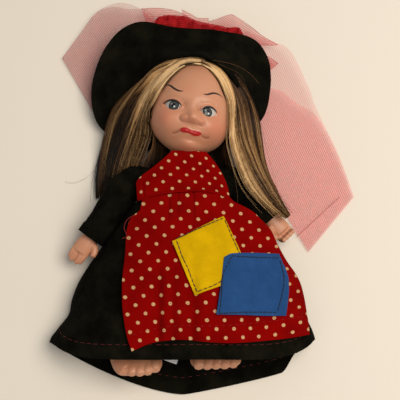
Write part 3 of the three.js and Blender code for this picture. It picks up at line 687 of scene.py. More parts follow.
@dataclass(frozen=True)
class Vinyl:
    """Soft satin skin, with paint on the face and painted shade in its creases and recesses."""

    name: str
    skin: Colour = (0.535, 0.240, 0.128)
    warm: Colour = (0.535, 0.190, 0.092)
    lips: Colour = (0.40, 0.005, 0.003)
    deep_lips: Colour = (0.45, 0.012, 0.008)
    blush: Colour = (0.56, 0.155, 0.085)
    # Colour of the painted shade in the face's creases and recesses.
    painted_shade: Colour = (0.17, 0.045, 0.020)
    paint: Colour = (0.030, 0.009, 0.005)
    painted: bool = False

    def make(self) -> Finish:
        """Builds the material.

        Returns:
            The material.
        """
        s = Shader(self.name)
        place = s.place()
        mottle = s.noise(place, 0.09, 2.0).ease(0.3, 0.75)
        colour = s.blend(mottle * 0.35, self.skin, self.warm)
        rough = 0.40 + 0.10 * s.noise(place, 0.6, 3.0)
        if self.painted:
            colour = s.blend(s.kept("blush"), colour, self.blush)
            # Painted shade: darkens the eye corners and openings, the mouth corners and the line under the
            # nose.
            colour = s.blend(s.kept("painted_shade"), colour, self.painted_shade)
            lips = 1 - s.kept("lip").ease(-0.16, 0.16)
            streak = s.noise(place, 1.4, 2.0)
            colour = s.blend(lips, colour, s.blend(streak * 0.5, self.lips, self.deep_lips))
            brow = 1 - s.kept("brow").ease(-0.12, 0.14)
            colour = s.blend(brow, colour, self.paint)
            rough = rough - 0.04 * lips
        grain = s.noise(place, 2.6, 3.0)
        return s.finish({
            "Base Color": colour, "Roughness": rough, "Subsurface Weight": 0.10, "Subsurface Scale": 0.002,
            "Subsurface Radius": (1.0, 0.35, 0.2), "Normal": s.relief(grain, 0.03, 0.25),
        })


@dataclass(frozen=True)
class EyeGloss:
    """Glossy inset eye: white, grey iris with a dark rim, pupil and painted highlights."""

    iris_radius: float
    white: Colour = (0.46, 0.42, 0.37)
    rim: Colour = (0.003, 0.003, 0.003)
    dark: Colour = (0.012, 0.012, 0.011)
    grey: Colour = (0.085, 0.090, 0.080)
    black: Colour = (0.004, 0.004, 0.004)
    pupil: float = 1.35
    # Painted highlights: place on the iris, size, strength and colour of each.
    painted_glints: Sequence[Tuple[Point, float, float, Colour]] = (
        ((0.75, -0.75), 0.62, 1.0, (0.66, 0.66, 0.62)), ((-1.35, 0.85), 0.7, 0.6, (0.46, 0.46, 0.44)))

    def make(self) -> Finish:
        """Builds the material.

        Returns:
            The material.
        """
        s = Shader("eye_gloss")
        away = s.kept("away")
        spoke_x, spoke_y = s.kept("spoke_x"), s.kept("spoke_y")
        spokes = s.node("ShaderNodeCombineXYZ", {}, {0: spoke_x, 1: spoke_y, 2: away * 0.05})
        streak = s.noise(Wire(s, spokes.outputs[0]), 7.0, 3.0).ease(0.3, 0.7)
        grey = s.blend(streak, self.dark, self.grey)
        grey = s.blend(away.ease(self.iris_radius * 0.68, self.iris_radius * 0.92), grey, self.rim)
        colour = s.blend(away.ease(self.pupil - 0.12, self.pupil + 0.12), self.black, grey)
        # Paints the highlights into the eye's colour.
        for at, size, share, tint in self.painted_glints:
            across, along = away * spoke_x - at[0], away * spoke_y - at[1]
            spot = 1 - ((across * across + along * along) ** 0.5).ease(size * 0.5, size * 1.15)
            colour = s.blend(spot * share, colour, tint)
        colour = s.blend(away.ease(self.iris_radius - 0.1, self.iris_radius + 0.14), colour, self.white)
        return s.finish({
            "Base Color": colour, "Roughness": 0.35, "Specular IOR Level": 0.1, "Coat Weight": 0.45,
            "Coat Roughness": 0.02,
        })


@dataclass(frozen=True)
class Felt:
    """Brushed felt with loose fibres and pale flecks."""

    name: str
    colour: Colour
    fleck: Colour
    fuzz: float = 0.3
    # How much lighter the cloud's patches are; on the black felt they are partly the nap's own mottle, partly
    # painted sheen.
    light: float = 1.25

    def make(self) -> Finish:
        """Builds the material.

        Returns:
            The material.
        """
        s = Shader(self.name)
        place = s.place()
        # Random cloud toward a lighter colour: partly the felt's own mottle, partly painted sheen.
        cloud = s.noise(place, 0.07, 4.0, 0.6).ease(0.32, 0.72)
        fibre = s.noise(place, 2.4, 4.0, 0.65)
        light = tuple(min(1.0, self.light * c) for c in self.colour)
        colour = s.blend(cloud, self.colour, light)
        colour = s.blend(fibre.ease(0.5, 0.78) * self.fuzz, colour, self.fleck)
        nap = fibre + 0.7 * s.noise(place, 0.7, 2.0)
        return s.finish({
            "Base Color": colour, "Roughness": 0.95, "Specular IOR Level": 0.03,
            "Normal": s.relief(nap, 0.5, 0.6),
        })


@dataclass(frozen=True)
class DottedCotton:
    """Plain-weave red cotton printed with small cream dots in staggered rows."""

    pitch: float = DOT_PITCH
    dot: float = 1.07
    thread: float = 0.36
    red: Colour = (0.232, 0.0012, 0.0006)
    dark: Colour = (0.130, 0.0006, 0.0003)
    cream: Colour = (0.53, 0.31, 0.145)

    def make(self) -> Finish:
        """Builds the material.

        Returns:
            The material.
        """
        s = Shader("dotted_cotton")
        vector, u, v = s.cloth()
        wander = s.noise(vector, 0.9, 2.0) - 0.5

        def spot(shift: float) -> Wire:
            """Distance to the nearest dot of one of the two interleaved rows."""
            du = ((u / self.pitch + shift).wrap() - 0.5) * self.pitch
            dv = ((v / self.pitch + shift).wrap() - 0.5) * self.pitch
            return (du * du + dv * dv) ** 0.5

        away = spot(0.0).least(spot(0.5)) + wander * 0.55
        print_mask = 1 - away.ease(self.dot - 0.14, self.dot + 0.16)
        worn = s.noise(vector, 1.6, 3.0).ease(0.60, 0.74)
        heart = (1 - away.ease(0.15, 0.65)) * s.noise(vector, 0.12, 0.0).ease(0.56, 0.68) * 0.5
        print_mask = print_mask * (1 - worn * 0.8) * (1 - heart)
        warp = abs((u / self.thread).wrap() - 0.5) * 2
        weft = abs((v / self.thread).wrap() - 0.5) * 2
        weave = warp.least(weft)
        cloud = s.noise(vector, 0.06, 3.0).ease(0.3, 0.75)
        # Random mottle, and painted shade in the gaps between threads.
        colour = s.blend(cloud * 0.6 + weave * 0.25, self.red, self.dark)
        colour = s.blend(print_mask, colour, self.cream)
        height = 1 - weave + 0.5 * s.noise(vector, 0.5, 2.0)
        return s.finish({
            "Base Color": colour, "Roughness": 0.95, "Specular IOR Level": 0.02,
            "Normal": s.relief(height, 0.12, 0.5),
        })


@dataclass(frozen=True)
class NetWeave:
    """Fine stiffened net: ribs along its length, finer threads across and clear gaps between."""

    name: str
    colour: Colour
    deep: Colour
    fill: float
    rib: float
    cross: float = 0.05
    edge: float = 0.1
    pitch: float = 1.25
    lean: float = 0.55
    edge_colour: Colour = (0.26, 0.004, 0.008)

    def make(self) -> Finish:
        """Builds the material.

        Returns:
            The material.
        """
        s = Shader(self.name)
        vector, u, v = s.cloth()
        wander = (s.noise(vector, 0.03, 1.0) - 0.5) * 0.8

        def threads(place: Wire, pitch: float) -> Wire:
            """One family of threads, from 0 in the gaps to 1 on a thread."""
            return 1 - (abs((place / pitch).wrap() - 0.5) * 2).ease(0.1, 0.9)

        ribs = threads(u + wander, self.pitch)
        fine = self.pitch * 0.7
        lean = threads(v + self.lean * u, fine).most(threads(v - self.lean * u, fine))
        edge = 1 - s.kept("edge").ease(0.2, 0.6)
        tint = s.noise(vector, 0.2, 3.0).ease(0.3, 0.7)
        colour = s.blend(tint, self.colour, self.deep)
        colour = s.blend(edge * self.edge, colour, self.edge_colour)
        cover = (self.fill + self.rib * ribs + self.cross * lean).most(edge * self.edge)
        return s.finish({"Base Color": colour, "Roughness": 0.7, "Alpha": cover, "Specular IOR Level": 0.05})


@dataclass(frozen=True)
class HairFibre:
    """Glossy straight fibre whose tone runs from dark to blonde."""

    dark: Colour = (0.0070, 0.0036, 0.0016)
    brown: Colour = (0.110, 0.046, 0.015)
    blonde: Colour = (0.52, 0.300, 0.120)
    pale: Colour = (0.80, 0.53, 0.265)

    def make(self) -> Finish:
        """Builds the material.

        Returns:
            The material.
        """
        s = Shader("hair_fibre")
        tone = s.kept("tone")
        colour = s.blend(tone.ease(0.1, 0.5), self.dark, self.brown)
        colour = s.blend(tone.ease(0.4, 0.75), colour, self.blonde)
        colour = s.blend(tone.ease(0.75, 1.0), colour, self.pale)
        return s.finish({"Base Color": colour, "Roughness": 0.42, "Specular IOR Level": 0.13})


@dataclass(frozen=True)
class Thread:
    """Twisted sewing thread."""

    name: str
    colour: Colour

    def make(self) -> Finish:
        """Builds the material.

        Returns:
            The material.
        """
        s = Shader(self.name)
        place = s.place()
        twist = s.noise(place, 3.0, 2.0)
        light = tuple(min(1.0, 1.6 * c + 0.002) for c in self.colour)
        return s.finish({
            "Base Color": s.blend(twist.ease(0.4, 0.8), self.colour, light), "Roughness": 0.7,
            "Normal": s.relief(twist, 0.1, 0.5),
        })


@dataclass(frozen=True)
class Tape:
    """Smooth white woven tape."""

    colour: Colour = (0.80, 0.79, 0.76)
    shade: Colour = (0.68, 0.66, 0.62)
    rib: float = 0.3

    def make(self) -> Finish:
        """Builds the material.

        Returns:
            The material.
        """
        s = Shader("white_tape")
        vector, _, v = s.cloth()
        rib = abs((v / self.rib).wrap() - 0.5)
        shade = s.blend(s.noise(vector, 0.6, 2.0), self.colour, self.shade)
        return s.finish({"Base Color": shade, "Roughness": 0.6, "Normal": s.relief(rib, 0.05, 0.5)})


@dataclass(frozen=True)
class TableTop:
    """Plain pale table."""

    colour: Colour = (0.77, 0.685, 0.57)
    shade: Colour = (0.71, 0.62, 0.505)

    def make(self) -> Finish:
        """Builds the material.

        Returns:
            The material.
        """
        s = Shader("table_top")
        place = s.place()
        shade = s.blend(s.noise(place, 0.02, 3.0) * 0.12, self.colour, self.shade)
        return s.finish({"Base Color": shade, "Roughness": 0.8, "Specular IOR Level": 0.2})


class Finishes:
    """All the doll's materials, made once."""

    def __init__(self) -> None:
        """Builds every material."""
        self.face = Vinyl("vinyl_face", painted=True).make()
        self.vinyl = Vinyl("vinyl_skin").make()
        self.eyes = {-1: EyeGloss(3.45).make(), 1: EyeGloss(3.1).make()}
        self.lid = Thread("lid_paint", (0.010, 0.007, 0.006)).make()
        self.black_felt = Felt("black_felt", (0.0019, 0.0016, 0.0008), (0.018, 0.019, 0.015), 0.4, 4.2).make()
        self.yellow_felt = Felt("yellow_felt", (0.52, 0.30, 0.001), (0.69, 0.44, 0.012), 0.4).make()
        self.blue_felt = Felt("blue_felt", (0.0148, 0.0525, 0.150), (0.048, 0.114, 0.26), 0.45).make()
        self.cotton = DottedCotton().make()
        self.right_net = NetWeave("right_net", (0.84, 0.055, 0.070), (0.70, 0.036, 0.048), 0.07, 0.20).make()
        # The left tail's net is thinner than the right one and painted darker; the darkness is painted shade
        # for the shadow on the hat's left side.
        self.shaded_left_net = NetWeave("shaded_left_net", (0.52, 0.050, 0.058), (0.40, 0.034, 0.040), 0.07, 0.235,
                                 edge=0.35).make()
        self.folded_net = NetWeave("folded_net", (0.62, 0.035, 0.040), (0.46, 0.016, 0.020), 0.24, 0.28,
                                   cross=0.1, edge=0.7).make()
        self.dense_net = NetWeave("gathered_net", (0.43, 0.012, 0.014), (0.23, 0.004, 0.006), 0.6, 0.3,
                                  cross=0.1, edge=0.0).make()
        self.hair = HairFibre().make()
        self.red_thread = Thread("red_thread", (0.105, 0.003, 0.004)).make()
        self.net_thread = Thread("net_thread", (0.36, 0.05, 0.05)).make()
        self.cotton_thread = Thread("cotton_thread", (0.22, 0.0014, 0.001)).make()
        self.black_thread = Thread("black_thread", (0.004, 0.004, 0.005)).make()
        self.tape = Tape().make()


def settle(obj: Piece, finish: Finish, slot: Slot, on: Any, stands_for: Sequence[str] = ()) -> Piece:
    """Dresses a finished piece and ties it to the frame.

    Args:
        obj: The piece.
        finish: Its material.
        slot: The slot for that finish; not used.
        on: A body's name, or a bend across a joint.
        stands_for: CAD nodes that the piece replaces.

    Returns:
        The same piece.
    """
    obj.data.materials.clear()
    obj.data.materials.append(finish)
    if stands_for:
        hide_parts(*stands_for)
    if isinstance(on, str):
        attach(obj, on)
    else:
        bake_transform(obj)
    joined = on if isinstance(on, str) else on[:2]
    LOG.info("%s: %d faces, %d mm2, on %s", obj.name, len(obj.data.polygons), Bench.area(obj), joined)
    return obj


def cloth(obj: Piece, flat: Point, held: str, rests_on: Sequence[str], walled: bool = True) -> None:
    """Logs a cloth piece's cut area against its flat size in millimetres.

    Args:
        obj: The piece.
        flat: Width and length of the rectangle that it is cut from.
        held: How it is held; not used.
        rests_on: What it rests on.
        walled: Whether the mesh has both sides.
    """
    cut = Bench.area(obj) / (2 if walled else 1) * MM**2
    whole = flat[0] * flat[1] * MM**2
    LOG.info("%s: cut %.0f mm2 of %.0f", obj.name, cut / MM**2, whole / MM**2)
    flat[0] * MM
    flat[1] * MM
    list(rests_on)


def tube(name: str, line: Array, radii: Any, sides: int = 6) -> Piece:
    """Makes a round closed tube along a line.

    Args:
        name: The piece's name.
        line: Points in millimetres.
        radii: One radius, or one for each point.
        sides: Sides of its section.

    Returns:
        The tube.
    """
    return strand_mesh(name, line[None], np.broadcast_to(radii, (1, len(line))), sides)


def strand_mesh(name: str, lines: Array, radii: Array, sides: int = 3) -> Piece:
    """Makes one mesh of many closed tubes.

    Args:
        name: The piece's name.
        lines: Points in millimetres, as strands by steps by three.
        radii: Radii, as strands by steps.
        sides: Sides of each section.

    Returns:
        The mesh's object.
    """
    count, steps, _ = lines.shape
    along = unit(np.gradient(lines, axis=1))
    guess = np.where(np.abs(along[..., 2:]) > 0.9, np.array([1.0, 0, 0]), np.array([0, 0, 1.0]))
    side = unit(np.cross(along, guess))
    up = np.cross(side, along)
    turn = 2 * np.pi * np.arange(sides) / sides
    ring = (np.cos(turn)[:, None] * side[:, :, None, :] + np.sin(turn)[:, None] * up[:, :, None, :])
    points = lines[:, :, None, :] + radii[:, :, None, None] * ring
    start = (np.arange(count) * steps * sides)[:, None, None]
    lower = start + (np.arange(steps - 1) * sides)[None, :, None] + np.arange(sides)[None, None, :]
    following = start + (np.arange(steps - 1) * sides)[None, :, None] + (np.arange(sides) + 1) % sides
    quads = np.stack([lower, lower + sides, following + sides, following], axis=-1).reshape(-1, 4)
    first = start[:, :, 0] + np.arange(sides)
    last = first[:, ::-1] + (steps - 1) * sides
    faces = quads.tolist() + first.tolist() + last.tolist()
    obj = Bench.mesh(name, points.reshape(-1, 3), faces)
    Bench.only(obj)
    bpy.ops.object.shade_smooth()
    return obj


@dataclass(frozen=True)
class Stitch:
    """One kind of stitch: its length, the gap after it, its thread's radius and how far it may turn."""

    length: float
    space: float
    radius: float
    stray: float


BRIM_STITCH = Stitch(2.6, 1.2, 0.13, 0.04)
HEM_STITCH = Stitch(3.4, 1.4, 0.14, 0.04)
APRON_STITCH = Stitch(2.4, 1.8, 0.11, 0.04)
PATCH_STITCH = Stitch(3.3, -0.4, 0.29, 0.05)


def sew(name: str, line: Array, up: Array, stitch: Stitch, rng: Random) -> Piece:
    """Sews separate stitches along a line.

    Args:
        name: The piece's name.
        line: Points of the seam on the cloth, in millimetres.
        up: Directions out of the cloth at those points.
        stitch: The kind of stitch.
        rng: Source of the small irregularities.

    Returns:
        The stitches as one piece.
    """
    reach = arc_length(line)
    count = int(reach[-1] / (stitch.length + stitch.space))
    pitch = reach[-1] / count
    steps = 5
    share = np.linspace(-0.5, 0.5, steps)
    middles = (np.arange(count) + 0.5) * pitch + rng.normal(0, 0.06 * abs(stitch.space), count)
    lengths = stitch.length * (1 + rng.normal(0, 0.12, count))
    spots = np.clip(middles[:, None] + share * lengths[:, None], 0, reach[-1])
    rail = np.stack([np.interp(spots, reach, line[:, k]) for k in range(3)], axis=-1)
    lift = unit(np.stack([np.interp(spots, reach, up[:, k]) for k in range(3)], axis=-1))
    aside = unit(np.cross(np.gradient(rail, axis=1), lift))
    sway = rng.normal(0, stitch.stray, (count, 1, 1)) * share[None, :, None] * stitch.length
    height = stitch.radius * (0.9 - 2.6 * (2 * np.abs(share)) ** 3)
    lines = rail + aside * sway + lift * height[None, :, None]
    radii = np.broadcast_to(stitch.radius * (1 - 0.35 * (2 * np.abs(share)) ** 2), (count, steps))
    return strand_mesh(name, lines, radii, 5)


class Torso:
    """The body's sections, which the clothes follow."""

    PROFILE = Path([
        (TORSO_TOP, 10.5, 10.5), (TORSO_TOP - 2.5, 18, 12.8), (TORSO_TOP - 7.5, 23.25, 14.88),
        (SHOULDER_Y - 2, 25, 16), (WAIST_Y, 25.3, 16.5), (WAIST_Y - 13, 25.7, 17.3),
        (HIP_Y + 12, 26.5, 17.5),
    ])

    @classmethod
    def section(cls, y: Array) -> Tuple[Array, Array]:
        """Gives half the width and half the depth at a height along the body."""
        table = cls.PROFILE.at(np.linspace(0, 1, 300))[::-1]
        return np.interp(y, table[:, 0], table[:, 1]), np.interp(y, table[:, 0], table[:, 2])


@dataclass
class SkirtForm:
    """The skirt's surface: flat under the doll, arched over the legs, longer behind."""

    front: float = 98.0
    back: float = 117.6
    left: float = 84.0
    right: float = 83.0
    front_lift: float = 15.0
    left_lift: float = 32.0
    right_lift: float = 18.0
    right_step: float = 9.5
    right_corner: float = 6.0
    waist_ease: Point = (0.3, 0.5)
    rise: float = 44.0
    swell: float = 3.0
    side_height: float = 8.0
    fold_depth: float = 1.6
    folds: int = 9
    crown: float = 1.0
    slope: Path = field(default_factory=lambda: Path([
        (0, 0, 0), (0.012, 0.08, 0.07), (0.035, 0.105, 0.15), (0.08, 0.16, 0.235), (0.14, 0.225, 0.33),
        (0.2, 0.295, 0.42), (0.3, 0.42, 0.555), (0.36, 0.49, 0.615), (0.45, 0.59, 0.695),
        (0.56, 0.69, 0.775), (0.68, 0.755, 0.825), (0.77, 0.78, 0.865), (0.88, 0.9, 0.945),
        (0.97, 0.99, 0.99), (1, 1, 1),
    ]))

    def side_width(self, y: Array, side: Array) -> Array:
        """Gives the half width at a height, on the side whose sign is given.

        Args:
            y: Heights along the body.
            side: Below 0 on the left.

        Returns:
            Half widths.
        """
        drop = np.clip((WAIST_Y - y) / (self.front - 10), 0, 1)
        table = self.slope.at(np.linspace(0, 1, 400))
        start = CHEST_WIDTH / 2 + self.waist_ease[0] + GAP + CLOTH
        left = mix(start, self.left, np.interp(drop, table[:, 0], table[:, 1]))
        right = mix(start, self.right, np.interp(drop, table[:, 0], table[:, 2]))
        return np.where(side < 0, left, right)

    def hem(self, cosine: Array, front: Array) -> Array:
        """Gives the hem's height along the body.

        Args:
            cosine: Places across, from -1 at the left to 1 at the right.
            front: Whether they are in front.

        Returns:
            Heights along the body.
        """
        aside = np.abs(cosine)
        ahead = WAIST_Y - self.front + self.front_lift * aside**6
        left = self.left_lift * aside**1.55
        right = self.right_lift * aside**1.15 + self.right_step * smooth(0.74, 0.86, aside)
        right = right + self.right_corner * aside**8
        behind = WAIST_Y - self.back + np.where(cosine < 0, left, right)
        return np.where(front, ahead, behind)

    def point(self, angle: Array, share: Array, inset: float = 0.0) -> Array:
        """Gives points of the skirt.

        Args:
            angle: Round the skirt, from the right over the front to the left and behind.
            share: From 0 at the waist to 1 at the hem.
            inset: Depth into the cloth.

        Returns:
            Points in millimetres.
        """
        cosine, sine = np.cos(angle), np.sin(angle)
        front = sine >= 0
        high = np.abs(sine)
        y = mix(WAIST_Y, self.hem(cosine, front), share)
        width = self.side_width(y, cosine) - inset
        top = BODY_Z + CHEST_DEPTH / 2 + self.waist_ease[1] + GAP + CLOTH
        edge = mix(BODY_Z, self.side_height, smooth(0, 0.6, share))
        peak = mix(top, self.rise, smooth(0, 0.9, share))
        peak = peak + self.swell * smooth(0, 0.25, share) * (1 - smooth(0.3, 1, share))
        fold = self.fold_depth * smooth(0.15, 1, share) * np.cos(self.folds * angle) * high
        fold = fold + 0.5 * smooth(0.1, 0.6, share) * np.sin(5.3 * angle + 9 * share) * high**2
        above = edge + (peak - edge - inset) * high ** mix(self.crown, 1.15, smooth(0, 0.2, share)) + fold
        sunk = mix(-1, self.side_height, smooth(0, 0.2, share))
        below = edge - (edge + sunk - inset) * high**0.8
        return columns(width * cosine, y, np.where(front, above, np.maximum(inset, below)))

    def height(self, x: Array, y: Array) -> Array:
        """Gives the front's height over the table at a place seen from above.

        Args:
            x: First coordinate of the places.
            y: Second coordinate of the places.

        Returns:
            Heights over the table.
        """
        width = self.side_width(y, x)
        cosine = np.clip(x / width, -0.999, 0.999)
        share = (WAIST_Y - y) / (WAIST_Y - self.hem(cosine, np.full(np.shape(x), True)))
        return self.point(np.arccos(cosine), share)[..., 2]

    def over(self, x: Array, y: Array, lift: Any) -> Tuple[Array, Array]:
        """Gives points lifted square off the front, and the directions out of it.

        Args:
            x: First coordinate of the places.
            y: Second coordinate of the places.
            lift: Distance off the front.

        Returns:
            Points, and unit directions out of the front.
        """
        step = 1.5
        below = np.minimum(y, WAIST_Y - step)
        slope_x = (self.height(x + step, y) - self.height(x - step, y)) / (2 * step)
        slope_y = (self.height(x, below + step) - self.height(x, below - step)) / (2 * step)
        out = unit(columns(-slope_x, -slope_y, np.ones_like(slope_x)))
        return columns(x, y, self.height(x, y)) + out * np.asarray(lift)[..., None], out


@dataclass
class Studio:
    """Pale table, one soft lamp and the camera at the photograph's angle."""

    lens: float = 85.0
    sensor: float = 36.0
    nearest: float = 0.01
    camera_at: Point = (10.4, -124.38, 600.47)
    aim_at: Point = (10.4, 3.25, 0.0)
    key_at: Point = (400.0, -10.0, 950.0)
    key_size: float = 0.66
    key_power: float = 9.8
    key_colour: Colour = (1.0, 0.96, 0.90)
    world: float = 0.36
    world_colour: Colour = (0.93, 0.96, 1.0)
    table_size: float = 3.0
    table_gap: float = 0.0002

    def build(self) -> None:
        """Sets the table, lamp, world and camera."""
        self._table()
        self._lamp()
        self._world()
        self._camera()
        bpy.context.scene.view_settings.view_transform = "Standard"

    def _table(self) -> None:
        """Lays the table."""
        table = Bench.add(bpy.ops.mesh.primitive_plane_add, "table_top", size=self.table_size,
                          location=(0, 0, -self.table_gap))
        table.data.materials.append(TableTop().make())

    def _aimed(self, name: str, data: Any, at: Point) -> Piece:
        """Places a lamp or camera and aims it at the doll.

        Args:
            name: Its name.
            data: Its lamp or camera data.
            at: Where it stands.

        Returns:
            The lamp or camera.
        """
        obj = bpy.data.objects.new(name, data)
        obj.location = to_row(at)
        aim = Vector(to_row(self.aim_at)) - obj.location
        obj.rotation_euler = aim.to_track_quat("-Z", "Y").to_euler()
        bpy.context.scene.collection.objects.link(obj)
        return obj

    def _lamp(self) -> None:
        """Hangs one soft lamp over the doll, to the right."""
        data = bpy.data.lights.new("key_lamp", "AREA")
        data.size = self.key_size
        data.energy = self.key_power
        data.color = self.key_colour
        self._aimed("key_lamp", data, self.key_at)

    def _world(self) -> None:
        """Fills the room with even light."""
        world = bpy.data.worlds.new("soft_room")
        world.use_nodes = True
        background = world.node_tree.nodes["Background"]
        background.inputs["Color"].default_value = (*self.world_colour, 1.0)
        background.inputs["Strength"].default_value = self.world
        bpy.context.scene.world = world

    def _camera(self) -> None:
        """Places the camera."""
        data = bpy.data.cameras.new("camera")
        data.lens = self.lens
        data.sensor_width = self.sensor
        data.clip_start = self.nearest
        bpy.context.scene.camera = self._aimed("camera", data, self.camera_at)


@dataclass(frozen=True)
class EyeShape:
    """One eye on the head's front: opening, lids and iris."""

    side: int
    centre: Point
    half_width: float
    upper: float
    lower: float
    turn: float
    iris_at: Point
    ball: float = 11.5
    stand: float = 0.85
    dome: float = 0.40
    dome_radius: float = 3.9

    def edge(self, along: Array, half: Any) -> Array:
        """Gives the opening's height at a place along it."""
        return half * np.clip(1 - (along / self.half_width) ** 2, 0, 1) ** 0.72

    def distance(self, x: Array, y: Array) -> Array:
        """Gives the distance to the opening's edge, below 0 inside.

        Args:
            x: First coordinate of the places.
            y: Second coordinate of the places.

        Returns:
            Distances in millimetres.
        """
        along, across = turned(x, y, self.centre, self.turn)
        half = np.where(across > 0, self.upper, self.lower)
        q = np.clip(np.abs(along) / self.half_width, 0, 0.985)
        slope = 1.44 * half * q / self.half_width * (1 - q * q) ** -0.28
        inside = (np.abs(across) - self.edge(along, half)) / np.sqrt(1 + slope**2)
        return np.where(np.abs(along) < self.half_width, inside,
                        np.hypot(np.abs(along) - self.half_width, across))

    def rim(self, share: Array, half: float, grow: float) -> Tuple[Array, Array]:
        """Gives places on one lid's edge, from the left corner to the right one.

        Args:
            share: Places from 0 to 1.
            half: The lid's height, below 0 for the lower lid.
            grow: Distance outside it.

        Returns:
            Both coordinates of the places.
        """
        along = mix(-self.half_width, self.half_width, share)
        across = self.edge(along, half) + math.copysign(grow, half)
        turn = math.radians(self.turn)
        return (self.centre[0] + along * math.cos(turn) - across * math.sin(turn),
                self.centre[1] + along * math.sin(turn) + across * math.cos(turn))


